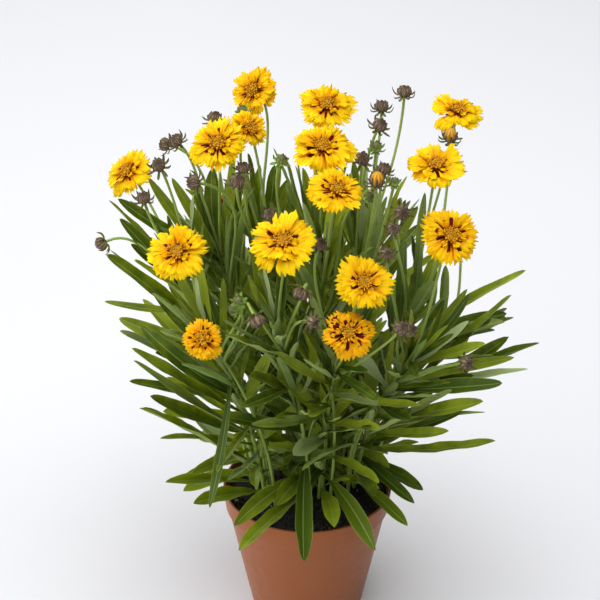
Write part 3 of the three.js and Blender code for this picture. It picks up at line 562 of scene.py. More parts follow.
def close_ends():
    """Fills every open rim of the active shell and turns its faces outwards."""
    bpy.ops.object.mode_set(mode="EDIT")
    bpy.ops.mesh.select_mode(type="EDGE")
    bpy.ops.mesh.select_all(action="DESELECT")
    bpy.ops.mesh.select_non_manifold()
    bpy.ops.mesh.edge_face_add()
    bpy.ops.mesh.select_all(action="SELECT")
    bpy.ops.mesh.normals_make_consistent(inside=False)
    bpy.ops.object.mode_set(mode="OBJECT")


def turned_cup(name, rings, sides, scale=MM):
    """A closed shell of round rings given as (radius, height), extruded from one to the next."""
    deselect()
    foot = (0, 0, rings[0][1] * scale)
    bpy.ops.mesh.primitive_circle_add(vertices=sides, radius=rings[0][0] * scale, location=foot)
    shell = bpy.context.object
    shell.name = name
    bpy.ops.object.transform_apply()
    bpy.ops.object.mode_set(mode="EDIT")
    bpy.ops.mesh.select_all(action="SELECT")
    for (radius, height), (next_radius, next_height) in zip(rings, rings[1:]):
        rise = {"value": (0, 0, (next_height - height) * scale)}
        bpy.ops.mesh.extrude_region_move(TRANSFORM_OT_translate=rise)
        share = next_radius / radius
        middle = (0, 0, next_height * scale)
        bpy.ops.transform.resize(value=(share, share, 1), center_override=middle)
    bpy.ops.object.mode_set(mode="OBJECT")
    close_ends()
    return shell


class Growth:
    """Copies of templates gathered into one piece, each with its own corners."""

    FACTS = ("tone", "mark", "warmth", "under")

    def __init__(self):
        self.gathered = [[] for _ in range(6)]
        self.count = 0

    def add(self, template, points, across, along, slot, tone=0.0, mark=0.0, warmth=0.0):
        """Adds a copy whose corners are given in millimetres, with its places across and along."""
        faces = len(template.sizes)
        facts = [np.full(faces, fact) for fact in (tone, mark, warmth)]
        copy = (
            points * MM,
            template.loops + self.count,
            template.sizes,
            np.stack([across, along], 1)[template.loops],
            np.stack([*facts, template.under], 1),
            np.full(faces, slot),
        )
        for rows, values in zip(self.gathered, copy):
            rows.append(values)
        self.count += len(points)

    def piece(self, name, materials):
        """All the copies as one new object."""
        points, loops, sizes, places, facts, slots = map(np.concatenate, self.gathered)
        mesh = bpy.data.meshes.new(name)
        mesh.vertices.add(len(points))
        mesh.vertices.foreach_set("co", points.astype(np.float32).ravel())
        mesh.loops.add(len(loops))
        mesh.loops.foreach_set("vertex_index", loops.astype(np.int32))
        mesh.polygons.add(len(sizes))
        starts = np.concatenate([[0], np.cumsum(sizes)[:-1]])
        mesh.polygons.foreach_set("loop_start", starts.astype(np.int32))
        mesh.update(calc_edges=True)
        for material in materials:
            mesh.materials.append(material)
        mesh.polygons.foreach_set("material_index", slots.astype(np.int32))
        layer = mesh.uv_layers.new(name="places")
        layer.uv.foreach_set("vector", places.astype(np.float32).ravel())
        for name_of_fact, values in zip(self.FACTS, facts.T):
            attribute = mesh.attributes.new(name_of_fact, "FLOAT", "FACE")
            attribute.data.foreach_set("value", values.astype(np.float32))
        piece = bpy.data.objects.new(name, mesh)
        bpy.context.scene.collection.objects.link(piece)
        smooth(piece, PLANT_CREASE)
        return piece


# The angle of an edge in degrees from which it shows as a crease.
PLANT_CREASE = 55
POT_CREASE = 32
SOIL_CREASE = 60


def smooth(piece, angle):
    """Shades a piece smooth but for its edges that are sharper than an angle in degrees."""
    deselect()
    piece.select_set(True)
    bpy.context.view_layer.objects.active = piece
    bpy.ops.object.shade_smooth_by_angle(angle=math.radians(angle))


def dress(piece, node):
    """Has a finished piece stand for its node, whose solid it hides, and hangs it from the root body.
    """
    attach(piece, "root")
    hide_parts(node)


# ---- Leaves, stalks and green parts --------------------------------------------------------------

LEAF, STEM, BRACT = range(3)

# How a blade's corners crowd towards its rib and its tip, then half its thickness, the depth of the
# groove over its rib and the height of the rib beneath, in millimetres.
RIB_CROWDING = 1.8
TIP_CROWDING = 1.5
HALF_BLADE = 0.13
RIB_GROOVE = 0.16
RIB_KEEL = 0.5

# How far the finer blade folds, waves and sways, as shares of its width or of the solid's fold, how
# broad its rib is, how much thinner its margins are, and its least half-width in millimetres.
FINE_FOLD = 2.7
FOLD_CURVE = 1.4
WAVE_SHARE = 0.16
SWAY_SHARE = 0.05
RIB_SHARE = 0.12
MARGIN_THINNING = 0.45
LEAST_HALF = 0.15


def leaf_width(share, spatulate):
    """Half the width of a leaf at a share of its length, as a share of its full half-width."""
    rise, fall = SPATULATE if spatulate else LANCEOLATE
    share = np.clip(share, 0, 1)
    widest = rise / (rise + fall)
    peak = widest**rise * (1 - widest) ** fall
    blade = share**rise * (1 - share) ** fall / peak
    foot = LEAF_STALK + 0.3 * np.exp(-((share / 0.03) ** 2))
    return np.where(share < widest, np.maximum(foot, blade), blade)


def grow_leaf(growth, template, leaf, key, tone, mark):
    """A copy of the blade bent along the curve of one leaf: folded, waved, ribbed and twisted."""
    v, u, side = template.points.T
    v = np.sign(v) * np.abs(v) ** RIB_CROWDING
    u = 1 - (1 - u) ** TIP_CROWDING
    middle, along = bezier(leaf["curve"], u)
    across, _ = across_of(leaf["side"], along)
    turn = (leaf["twist"] * lerp(ROLL_AT_FOOT, 1, u))[:, None]
    across = across * np.cos(turn) + np.cross(along, across) * np.sin(turn)
    face = np.cross(along, across)
    half = np.maximum(leaf["width"] / 2 * leaf_width(u, leaf["spatulate"]), LEAST_HALF)
    fold = FINE_FOLD * LEAF_FOLD * half * np.abs(v) ** FOLD_CURVE
    ripples = 1.5 + 2 * draw(key, 1, BLADE_FORM)
    phase = 6 * draw(key, 2, BLADE_FORM) + 2 * np.sign(v)
    wave = WAVE_SHARE * half * v**2 * np.sin(2 * math.pi * ripples * u + phase)
    rib = np.exp(-((v / RIB_SHARE) ** 2)) * (1 - u)
    skin = np.where(side > 0, HALF_BLADE - RIB_GROOVE * rib, -HALF_BLADE - RIB_KEEL * rib)
    skin *= 1 - MARGIN_THINNING * v**2
    lift = fold + wave + skin
    sway = (SWAY_SHARE * leaf["width"] * np.sin(math.pi * u) * spread(key, 3, BLADE_FORM))[:, None]
    reach = np.linalg.norm(leaf["curve"][-1] - leaf["curve"][0])
    middle = middle - UP * (LEAF_SAG * reach * 4 * u * (1 - u))[:, None]
    points = middle - across * ((v * half)[:, None] + sway) + face * lift[:, None]
    growth.add(template, points, (v + 1) / 2, u, LEAF, tone, mark)


def grow_rod(growth, template, curve, radii, slot, tone=0.0, mark=0.0):
    """A round rod along a curve, whose radius runs through the given ones."""
    x, u, y = template.points.T
    rows = np.unique(u.round(6))
    middles, along = bezier(curve, rows)
    sides, normals = rod_frames(along)
    index = np.searchsorted(rows, u.round(6))
    radius = np.interp(u, np.linspace(0, 1, len(radii)), radii)[:, None]
    around = np.arctan2(y, x) / (2 * math.pi) + 0.5
    rim = (sides[index] * x[:, None] + normals[index] * y[:, None]) * radius
    growth.add(template, middles[index] + rim, around, u, slot, tone, mark)


def grow_bract(growth, template, place, turn, line, width, slot, tone, mark=0.0):
    """A narrow bract along a line of (out, up) places, turned round the axis of its flower."""
    v, u, side = template.points.T
    middle, along = bezier([point(out, 0, up) for out, up in line], u)
    across, face = across_of(point(0, 1, 0), along)
    half = np.maximum(width / 2 * (0.55 + 0.9 * u - 1.4 * u**3), 0.1)
    lift = 0.5 * half * v**2 + 0.22 * side * (1 - 0.4 * np.abs(v))
    points = middle - across * (v * half)[:, None] + face * lift[:, None]
    growth.add(template, place(turned(points, turn)), (v + 1) / 2, u, slot, tone, mark)


# Where on its egg a scale starts, and in millimetres how far its keel, its skin and its tip stand off.
SCALE_FOOT = 0.05
KEEL_HEIGHT = 0.45
KEEL_SHARE = 0.3
HALF_SCALE = 0.2
SCALE_TIP = 0.5


def grow_scale(growth, template, place, turn, egg, half_angle, slot, tone, mark=0.0):
    """A keeled, ribbed scale on an egg of (radius, foot, height, stand-off, share that it covers)."""
    radius, foot, height, stand_off, reach = egg
    v, u, side = template.points.T
    share = SCALE_FOOT + (reach - SCALE_FOOT) * u
    out = radius * np.sqrt(np.clip(1 - (2 * share - 1) ** 2, 0, 1))
    taper = np.sqrt(np.clip(1 - u**2.2, 0.02, 1))
    around = turn + v * half_angle * taper
    keel = KEEL_HEIGHT * np.exp(-((v / KEEL_SHARE) ** 2)) - 0.1 * v**2
    out = out + stand_off + HALF_SCALE * side + keel + SCALE_TIP * u**4
    points = np.stack([out * np.cos(around), out * np.sin(around), foot + height * share], 1)
    growth.add(template, place(points), (v + 1) / 2, u, slot, tone, mark)


def grow_egg(growth, template, place, radius, foot, height, slot, tone=0.0):
    """The egg-shaped core of a disc or a head."""
    x, u, y = template.points.T
    share = 0.03 + 0.94 * u
    out = radius * np.sqrt(1 - (2 * share - 1) ** 2)
    points = np.stack([out * x, out * y, foot + height * share], 1)
    growth.add(template, place(points), np.arctan2(y, x) / 6.3 + 0.5, u, slot, tone)


# ---- Blooms and heads ------------------------------------------------------------------------------

RAY, DISC = range(2)
SCALE, BRACT_DRY, PETAL_TIP = range(3)

# Rows of rays from the outside in. Reach and breadth are shares of the bloom's, root and arch are
# heights in millimetres, and mark is a share of the bloom's blotches.
RAY_ROWS = [
    {"count": 8, "reach": 1.0, "root": 1.5, "slope": 0.08, "breadth": 0.66, "arch": 0.8, "mark": 1.0},
    {"count": 8, "reach": 0.84, "root": 2.3, "slope": 0.17, "breadth": 0.5, "arch": 0.9, "mark": 1.0},
    {"count": 6, "reach": 0.5, "root": 3.8, "slope": 0.5, "breadth": 0.24, "arch": 0.2, "mark": 0.6},
]
TEETH = 10
RAY_CROWDING = 1.3
TIP_ROUNDING = 0.14
ROOT_SHARE = 0.15
PLEAT_HEIGHT = 0.45
PLEATS = 3
FLUTTER = 0.8
OPENED = 0.8

# How large the maroon blotches of each bloom are.
BLOTCHES = (0.65, 0.7, 0.62, 0.62, 0.66, 0.82, 0.5, 0.72, 0.95, 0.58, 0.72, 0.8, 0.68, 1.2, 0.9)
BLOTCHES += (0.7, 0.7)

# How orange the rays of a bloom have turned.
WARMTH = {1: 0.15, 6: 0.12, 9: 0.15, 13: 0.1, 14: 0.55, 15: 0.45}


def grow_ray(growth, template, place, turn, row, reach, key, bloom):
    """A pleated ray with a toothed tip. It leaves its seat under the disc and opens outwards."""
    v, u, side = template.points.T
    column = np.round((v + 1) / 2 * TEETH).astype(int)
    jag = np.array([draw(key, k, RAY_TEETH) for k in range(TEETH + 1)])
    flap = np.array([spread(key, k, RAY_FLUTTER) for k in range(TEETH + 1)])
    deep = np.where(column % 4 == 2, 0.14 + 0.24 * jag[column], 0.1 + 0.14 * jag[column])
    notch = np.where(column % 2 == 0, deep, 0.1 * jag[column])
    tip = (1 - TIP_ROUNDING * v**2) * (1 - notch)
    u = 1 - (1 - u) ** RAY_CROWDING
    root = ROOT_SHARE * reach
    length = reach * row["reach"] * (0.97 + 0.12 * spread(key, 1, RAY_FORM)) - root
    out = length * u * (1 - (1 - tip) * u**3)
    breadth = reach * row["breadth"] * (1 + 0.16 * spread(key, 2, RAY_FORM))
    ease = np.clip(u / OPENED, 0, 1)
    half = breadth / 2 * (0.28 + 0.72 * ease * ease * (3 - 2 * ease)) * (1 - 0.06 * u**4)
    slope = row["slope"] + 0.18 * spread(key, 3, RAY_FORM)
    pleats = np.cos(math.pi * (PLEATS * v + 0.4 * spread(key, 4, RAY_FORM)))
    pleats = PLEAT_HEIGHT * (0.4 + u) * pleats
    curl = (1.2 + 2.2 * spread(key, 5, RAY_FORM)) * v**2 * u
    droop = length * (0.12 + 0.14 * spread(key, 6, RAY_FORM)) * u**3
    roll = 0.42 * spread(key, 7, RAY_FORM) * v * half
    arch = row["arch"] * 4 * u * (1 - u)
    flutter = FLUTTER * flap[column] * u**5
    up = row["root"] + slope * out + arch + pleats + curl - droop + roll + flutter
    points = turned(np.stack([root + out, -v * half, up + HALF_BLADE * side], 1), turn)
    mark = BLOTCHES[bloom - 1] * row["mark"] * (0.5 + 0.6 * draw(key, 8, RAY_FORM))
    facts = (spread(key, 9, RAY_FORM), mark, WARMTH.get(bloom, 0))
    growth.add(template, place(points), (v + 1) / 2, u, RAY, *facts)


# The disc: how many florets, its radius as a share of the bloom's, its core's foot and height, the
# height of its middle florets, and the share of dark ones with their tone.
DISC_FLORETS = 46
DISC_SHARE = 0.22
DISC_FOOT = 2.2
DISC_HEIGHT = 5.0
DISC_TOP = 7.0
DARK_FLORETS = 0.22
DARK_TONE = -0.6
GOLDEN_TURN = math.radians(137.508)


def grow_disc(growth, shapes, place, reach, key):
    """The domed disc: tubular florets set on a low dome in a spiral, the outer ones open."""
    radius = DISC_SHARE * reach
    grow_egg(growth, shapes["egg"], place, radius, DISC_FOOT, DISC_HEIGHT, DISC, -1)
    x, u, y = shapes["floret"].points.T
    for k in range(DISC_FLORETS):
        share = math.sqrt((k + 0.5) / DISC_FLORETS)
        lean = 0.75 * share + 0.3 * spread(key, k, FLORET_LEAN)
        size = lerp(0.62, 0.9, share) * (1 + 0.3 * spread(key, k, FLORET_SIZE))
        tall = lerp(1.4, 3.0, share**3) * (1 + 0.45 * spread(key, k, FLORET_HEIGHT))
        rim = np.interp(u, (0, 0.4, 0.8, 1), (0.55, 0.6, 1.0, 0.5)) * size
        shape = np.stack([x * rim, y * rim, u * tall], 1)
        c, s = math.cos(lean), math.sin(lean)
        shape = shape @ np.array([[c, 0, -s], [0, 1, 0], [s, 0, c]])
        shape += (radius * share, 0, DISC_TOP - 1.6 * share**2 - 0.5 * (1 - share))
        shape = place(turned(shape, k * GOLDEN_TURN))
        dark = draw(key, k, FLORET_DARK) < DARK_FLORETS
        tone = DARK_TONE if dark else share + 0.5 * spread(key, k, FLORET_TONE)
        growth.add(shapes["floret"], shape, np.arctan2(y, x), u, DISC, tone)


def grow_bloom(growth, shapes, place, diameter, key):
    """A semi-double bloom: its rows of rays round its disc."""
    reach = diameter / 2
    for number, row in enumerate(RAY_ROWS):
        template = shapes["small_ray"] if number == len(RAY_ROWS) - 1 else shapes["ray"]
        for k in range(row["count"]):
            seed = 1000 * key + 100 * number + k
            turn = 2 * math.pi * (k + number / 2 + 0.26 * spread(seed, 0, RAY_TURN)) / row["count"]
            grow_ray(growth, template, place, turn, row, reach, seed, key)
    grow_disc(growth, shapes, place, reach, key)


# Rows of scales on a closed head: how many, how far up they reach, their stand-off and half-angle.
SCALE_ROWS = [(8, 0.97, 0.0, 0.46), (7, 0.72, 0.4, 0.4)]
CORE_SHARE = 0.84

# Heights of heads as shares of their radius, how much narrower and shorter the scales of an opening
# head are, and the bracts under each head.
HEAD_TALL = 1.65
BUD_TALL = 2.0
OPENING_TALL = 2.2
OPENING_ANGLE = 0.5
OPENING_REACH = 0.72
HEAD_BRACTS = 8
HEAD_BRACT_WIDTH = 2.5


def grow_head(growth, shapes, place, radius, key, slots, opening=False, tall=HEAD_TALL):
    """A closed head: two rows of keeled scales round an egg, over a star of narrow curled bracts."""
    scale_slot, bract_slot, core_slot = slots
    narrower, shorter = (OPENING_ANGLE, OPENING_REACH) if opening else (1, 1)
    core = radius * CORE_SHARE
    height = radius * (OPENING_TALL if opening else tall)
    grow_egg(growth, shapes["egg"], place, core, 0, height * 0.97, core_slot)
    for row, (count, share, stand_off, half_angle) in enumerate(SCALE_ROWS):
        for k in range(count):
            seed = 10 * k + row
            turn = 2 * math.pi * (k + 0.5 * row) / count + 0.1 * spread(key, seed, SCALE_TURN)
            half = narrower * half_angle * (1 + 0.12 * spread(key, seed, SCALE_WIDTH))
            reach = shorter * share * (1 + 0.08 * spread(key, seed, SCALE_REACH))
            egg = (core, 0, height, stand_off + 0.25 * (k % 2), reach)
            tone = spread(key, seed, SCALE_TONE)
            grow_scale(growth, shapes["scale"], place, turn, egg, half, scale_slot, tone, row)
    for k in range(HEAD_BRACTS):
        turn = 2 * math.pi / HEAD_BRACTS * (k + 0.5) + 0.2 * spread(key, k, BRACT_TURN)
        out = radius * (1.85 + 0.3 * spread(key, k, BRACT_OUT))
        up = radius * (0.6 + 0.7 * spread(key, k, BRACT_UP))
        line = [(0.4 * radius, 0.1 * radius), (1.6 * radius, -0.25 * radius), (out, up)]
        tone = spread(key, k, BRACT_TONE)
        grow_bract(growth, shapes["bract"], place, turn, line, HEAD_BRACT_WIDTH, bract_slot, tone)


# The cup's broad bracts, whose line is given as (out, up), and its narrow ones.
CUP_BRACTS = 8
INNER_BRACT = [(2.2, -3.6), (5.0, -3.2), (8.0, -0.6)]
INNER_WIDTH = 5.0
OUTER_WIDTH = 1.9


def grow_cup(growth, shapes, place, key):
    """The green cup under a bloom, at the stalk's swollen end: broad inner and narrow outer bracts."""
    for k in range(CUP_BRACTS):
        turn = 2 * math.pi / CUP_BRACTS * k
        tone = spread(key, k, INNER_TONE)
        grow_bract(growth, shapes["bract"], place, turn, INNER_BRACT, INNER_WIDTH, BRACT, tone, 0.6)
        turn += math.pi / CUP_BRACTS + 0.1 * spread(key, k, OUTER_TURN)
        tip = (7.4 + spread(key, k, OUTER_OUT), -4.0 + 2 * spread(key, k, OUTER_UP))
        outer = [(1.6, -4.6), (5.0, -5.6), tip]
        tone = spread(key, k, OUTER_TONE)
        grow_bract(growth, shapes["bract"], place, turn, outer, OUTER_WIDTH, BRACT, tone)


# ---- Finishes --------------------------------------------------------------------------------------


def colour(hexed):
    """An sRGB hex colour as linear red, green, blue and alpha."""
    parts = [int(hexed[k : k + 2], 16) / 255 for k in (1, 3, 5)]
    linear = [p / 12.92 if p <= 0.04045 else ((p + 0.055) / 1.055) ** 2.4 for p in parts]
    return (*linear, 1.0)


def feed(tree, sockets, inputs):
    """Links sockets of a node to what feeds them, or sets them."""
    for name, value in inputs.items():
        if isinstance(value, bpy.types.NodeSocket):
            tree.links.new(value, sockets[name])
        else:
            sockets[name].default_value = value


def node(tree, kind, inputs=None, out=0, **settings):
    """Adds a shader node with its settings and inputs, and gives one of its outputs."""
    made = tree.nodes.new("ShaderNode" + kind)
    for name, value in settings.items():
        setattr(made, name, value)
    feed(tree, made.inputs, inputs or {})
    return made.outputs[out]


def per_metre(grain):
    """How many grains of a size in millimetres lie along a metre."""
    return 1 / (grain * MM)


class Finish:
    """A new material with its shader, and the places and numbers that its patterns follow."""

    def __init__(self, name, **sockets):
        self.material = bpy.data.materials.new(name)
        self.material.use_nodes = True
        self.tree = self.material.node_tree
        self.here = node(self.tree, "TexCoord", out="Object")
        self.set(**sockets)

    def set(self, **sockets):
        shader = self.tree.nodes["Principled BSDF"]
        feed(self.tree, shader.inputs, {name.replace("_", " "): sockets[name] for name in sockets})

    def pattern(self, *facts):
        """Places across and along each copy, from 0 to 1, and the asked numbers that it carries."""
        uv = node(self.tree, "UVMap", uv_map="places")
        places = node(self.tree, "SeparateXYZ", {0: uv}).node.outputs
        carried = [node(self.tree, "Attribute", out="Fac", attribute_name=fact) for fact in facts]
        return places["X"], places["Y"], *carried

    def streaks(self, where, counts, detail):
        """Fibres along each copy: how many lie across it, along it and from one tone to the next."""
        where = node(self.tree, "CombineXYZ", dict(enumerate(where)))
        where = node(self.tree, "Mapping", {"Vector": where, "Scale": counts})
        return node(self.tree, "TexNoise", {"Vector": where, "Scale": 1, "Detail": detail})

    def ribs(self, around, count):
        """Ribs round a stem or a head, from -1 in a groove to 1 on a crest."""
        turn = node(self.tree, "Math", {0: around, 1: count * 2 * math.pi}, operation="MULTIPLY")
        return node(self.tree, "Math", {0: turn}, operation="SINE")

    def off_middle(self, across):
        """How far a place lies off the middle line of its copy, from 0 to 1."""
        off = node(self.tree, "Math", {0: across, 1: 2, 2: -1}, operation="MULTIPLY_ADD")
        return node(self.tree, "Math", {0: off}, operation="ABSOLUTE")

    def painted(self, body, *coats):
        """A body colour under coats of (colour, value, low, high, most). A coat comes up where its
        value goes from low to high, and hides what lies beneath by no more than its most."""
        for over, value, low, high, most in coats:
            reach = {"Value": value, "From Min": low, "From Max": high, "To Max": most}
            mix = {0: node(self.tree, "MapRange", reach), 6: body, 7: over}
            body = node(self.tree, "Mix", mix, out=2, data_type="RGBA")
        return body

    def done(self, body, relief=None, **sockets):
        """The material with its colour, its relief as (height, strength, depth) and the rest."""
        if relief:
            height, strength, depth = relief
            bump = {"Height": height, "Strength": strength, "Distance": depth * MM}
            sockets["Normal"] = node(self.tree, "Bump", bump)
        self.set(Base_Color=body, **sockets)
        return self.material


def leaf_finish(settings):
    """Living leaf: a smooth blade with a faint sheen above, paler and matt beneath."""
    finish = Finish(
        "living_leaf",
        Specular_IOR_Level=0.2,
        Subsurface_Weight=0.3,
        Subsurface_Scale=0.0012,
        Subsurface_Radius=(0.8, 0.8, 0.1),
    )
    tree = finish.tree
    across, along, tone, age, under = finish.pattern("tone", "mark", "under")
    mottle = node(tree, "TexNoise", {"Vector": finish.here, "Scale": per_metre(14)})
    # The tone carries each leaf's random freshness and the painted shade of the outer leaves.
    shade = node(tree, "Math", {0: tone, 1: 0.58, 2: mottle}, operation="MULTIPLY_ADD")
    off = finish.off_middle(across)
    top = finish.painted(
        settings.leaf_deep,
        (settings.leaf_fresh, shade, 0, 1, 1),
        (settings.leaf_yellowed, age, 0, 1, 1),
        # Painted sheen: a negative mark greys the leaf, partly for a waxy bloom and partly for sheen of
        # light on it.
        (settings.leaf_bloom_and_sheen, age, 0, -1, 1),
        (colour("#a3b56a"), off, 0.1, 0.02, 0.45),
        (colour("#a9b87a"), off, 0.9, 1, 0.35),
    )
    beneath = finish.painted(
        settings.leaf_beneath,
        (colour("#94a55e"), shade, 0, 1, 1),
        (colour("#c0cc9e"), off, 0.1, 0.02, 0.45),
    )
    # Veins run along the blade about 0.6 mm apart, drawn a little coarser so that they show.
    veins = finish.streaks((across, along), (16, 2.5, 1), 1)
    body = finish.painted(top, (beneath, under, 0, 1, 1))
    rough = node(tree, "MapRange", {"Value": under, "To Min": 0.4, "To Max": 0.68})
    return finish.done(body, (veins, 0.5, 0.5), Roughness=rough)


def stem_finish(settings):
    """Living stem: ribbed along its length, shiny green with paler ribs."""
    finish = Finish("living_stem", Roughness=0.45)
    tree = finish.tree
    around, _ = finish.pattern()
    ribs = finish.ribs(around, 8)
    cloud = node(tree, "TexNoise", {"Vector": finish.here, "Scale": per_metre(25)})
    share = node(tree, "Math", {0: ribs, 1: 0.2, 2: cloud}, operation="MULTIPLY_ADD")
    body = finish.painted(settings.stem, (settings.stem_pale, share, 0, 1, 1))
    return finish.done(body, (ribs, 0.4, 0.2))


def bract_finish(settings):
    """Green bract or bud scale: soft leafy tissue, browner at its tip."""
    finish = Finish("green_bract", Roughness=0.6)
    _, along, paleness = finish.pattern("mark")
    cloud = node(finish.tree, "TexNoise", {"Vector": finish.here, "Scale": per_metre(3)})
    tip = node(finish.tree, "Math", {0: cloud, 1: 0.4, 2: along}, operation="MULTIPLY_ADD")
    coats = [(settings.stem_pale, paleness, 0, 1, 1), (colour("#5e5236"), tip, 0.8, 1.25, 1)]
    return finish.done(finish.painted(settings.stem, *coats))


def ray_finish(settings):
    """Ray floret: thin matt yellow tissue, orange towards the disc, with a maroon blotch there."""
    finish = Finish(
        "ray_floret",
        Roughness=0.66,
        Specular_IOR_Level=0.12,
        Subsurface_Weight=0.3,
        Subsurface_Scale=0.002,
    )
    tree = finish.tree
    across, along, tone, mark, warmth = finish.pattern("tone", "mark", "warmth")
    streaks = finish.streaks((across, along, tone), (13, 1.3, 9), 2)
    depth = node(tree, "Math", {0: streaks, 1: -0.5, 2: along}, operation="MULTIPLY_ADD")
    # The blotch lies round a place near the root, out to a ragged rim that grows with the mark.
    off = {0: node(tree, "CombineXYZ", {0: across, 1: along}), 1: (1.7, 1.7, 0), 2: (-0.85, -0.43, 0)}
    off = node(tree, "VectorMath", off, operation="MULTIPLY_ADD")
    away = node(tree, "VectorMath", {0: off}, out="Value", operation="LENGTH")
    ragged = node(tree, "Math", {0: streaks, 1: 0.42, 2: away}, operation="MULTIPLY_ADD")
    reach = node(tree, "Math", {0: mark, 1: 0.78, 2: 0.08}, operation="MULTIPLY_ADD")
    inside = node(tree, "Math", {0: reach, 1: ragged}, operation="SUBTRACT")
    body = finish.painted(
        settings.ray_root,
        (settings.ray, depth, -0.2, 0.45, 1),
        # Orange streaks along the ray, partly its veins and partly painted shade in the creases of its
        # pleats.
        (settings.ray_root, streaks, 0.5, 0.68, 0.6),
        (settings.ray_tip, along, 0.75, 1, 0.5),
        (settings.ray_root, warmth, 0, 1, 1),
        (settings.ray_foot, depth, 0.02, -0.12, 0.75),
        (settings.blotch, inside, -0.02, 0.04, 1),
    )
    return finish.done(body, (streaks, 0.6, 0.4))


def disc_finish(settings):
    """Disc florets: orange tubes, golden where they open."""
    finish = Finish("disc_floret", Roughness=0.7, Specular_IOR_Level=0.2)
    _, along, tone = finish.pattern("tone")
    body = finish.painted(
        settings.disc_middle,
        (settings.disc_rim, tone, 0, 1, 1),
        (colour("#4a2305"), tone, 0, -0.8, 1),
        (colour("#e0a416"), along, 0.55, 0.9, 0.6),
    )
    return finish.done(body)


def scale_finish(settings):
    """Dry papery scale of a spent head: fibrous, dark along its keel, pale at its edges."""
    finish = Finish("dry_scale", Roughness=0.8, Specular_IOR_Level=0.25)
    across, along, tone = finish.pattern("tone")
    fibres = finish.streaks((across, along, tone), (15, 2, 9), 3)
    body = finish.painted(
        settings.scale_dark,
        (settings.scale_pale, fibres, 0, 1, 1),
        (colour("#b8a48c"), finish.off_middle(across), 0.6, 1, 0.8),
        (colour("#2e2113"), along, 0.8, 1, 0.7),
    )
    return finish.done(body, (fibres, 0.7, 0.4))


def dry_bract_finish(settings):
    """Withering bract: grey-green at its foot, brown at its curled tip."""
    finish = Finish("withering_bract", Roughness=0.75)
    _, along = finish.pattern()
    cloud = node(finish.tree, "TexNoise", {"Vector": finish.here, "Scale": per_metre(4)})
    tip = node(finish.tree, "Math", {0: cloud, 1: 0.5, 2: along}, operation="MULTIPLY_ADD")
    brown = (settings.bract_brown, tip, 0.35, 1.05, 1)
    return finish.done(finish.painted(settings.bract_green, brown))


def petal_tip_finish():
    """Rolled ray tips that show between the scales of an opening head: golden rolls, brown between."""
    finish = Finish("rolled_ray_tip", Roughness=0.65)
    around, _ = finish.pattern()
    golden = (colour("#f0b010"), finish.ribs(around, 8), -1.43, 1.43, 1)
    return finish.done(finish.painted(colour("#8a5c0c"), golden))


def peat_finish(settings):
    """Damp peat: crumbly and almost black, with brown fibres."""
    finish = Finish("damp_peat", Roughness=0.92)
    _, _, paleness = finish.pattern("tone")
    crumbs = {"Vector": finish.here, "Scale": per_metre(2.2), "Detail": 4}
    crumbs = node(finish.tree, "TexNoise", crumbs)
    coats = [(settings.peat, crumbs, 0, 1, 1), (colour("#8d8377"), paleness, 0.9, 1, 1)]
    return finish.done(finish.painted(colour("#0d0a09"), *coats), (crumbs, 0.8, 1.2))


def pot_finish(settings):
    """Injection-moulded polypropylene in a terracotta colour: satin, with a fine even grain."""
    finish = Finish("moulded_polypropylene", Specular_IOR_Level=0.34)
    tree = finish.tree
    cloud, patches = (
        node(tree, "TexNoise", {"Vector": finish.here, "Scale": per_metre(size)}) for size in (60, 8)
    )
    rough = {"Value": patches, "From Min": 0.3, "From Max": 0.7, "To Min": 0.38, "To Max": 0.48}
    # Mould grain of about 0.4 mm.
    grain = {"Vector": finish.here, "Scale": per_metre(0.4), "Detail": 1}
    grain = node(tree, "TexNoise", grain)
    body = finish.painted(settings.plastic, (settings.plastic_pale, cloud, 0, 1, 1))
    return finish.done(body, (grain, 0.12, 0.1), Roughness=node(tree, "MapRange", rough))


# ---- Settings that a user would change ---------------------------------------------------------------


def tint(name, description, hexed):
    """A colour that a user can change."""
    return FloatVectorProperty(
        name=name,
        description=description,
        default=colour(hexed),
        size=4,
        min=0,
        max=1,
        subtype="COLOR",
    )


class PotSettings(bpy.types.PropertyGroup):
    plastic: tint("Plastic", "Colour of the pot", "#8f4d1f")
    plastic_pale: tint("Pale plastic", "Paler clouds in the plastic", "#965326")
    edge: FloatProperty(
        name="Edge radius", description="Rounding of the pot's edges", default=0.0006, unit="LENGTH"
    )


class SoilSettings(bpy.types.PropertyGroup):
    peat: tint("Peat", "Colour of the lighter crumbs", "#2c231d")
    crumbs: IntProperty(name="Crumbs", description="Loose crumbs on the surface", default=1500, min=0)


class FoliageSettings(bpy.types.PropertyGroup):
    leaf_deep: tint("Deep leaf", "Darker green of the leaves", "#3c520b")
    leaf_fresh: tint("Fresh leaf", "Lighter green of the leaves", "#98a626")
    leaf_yellowed: tint("Ageing leaf", "Colour that the lowest leaves turn to", "#8fa012")
    # Partly a waxy bloom and partly painted sheen on the leaves.
    leaf_bloom_and_sheen: tint("Greyed leaf", "Grey-green of a leaf with a waxy bloom", "#aab885")
    leaf_beneath: tint("Leaf underside", "Pale green beneath the leaves", "#6c843a")
    stem: tint("Stem", "Green of the stems", "#74922e")
    stem_pale: tint("Pale stem", "Paler ribs of the stems", "#b2c564")
    tuft: IntProperty(
        name="Tuft leaves", description="Small leaves at each leaf pair", default=2, min=0
    )
    side_stems: IntProperty(
        name="Side stems", description="Thin stems beside each shoot", default=3, min=0
    )


class BloomSettings(bpy.types.PropertyGroup):
    ray: tint("Ray", "Golden yellow of the rays", "#f9c400")
    ray_root: tint("Ray root", "Orange towards the disc", "#ee8a00")
    ray_foot: tint("Ray foot", "Reddish brown beside the disc", "#8a3a08")
    ray_tip: tint("Ray tip", "Lighter yellow of the teeth", "#fbd30a")
    blotch: tint("Blotch", "Maroon at the root of the rays", "#4a0d05")
    disc_middle: tint("Disc middle", "Florets still closed", "#b07808")
    disc_rim: tint("Disc rim", "Florets that are open", "#d9970c")


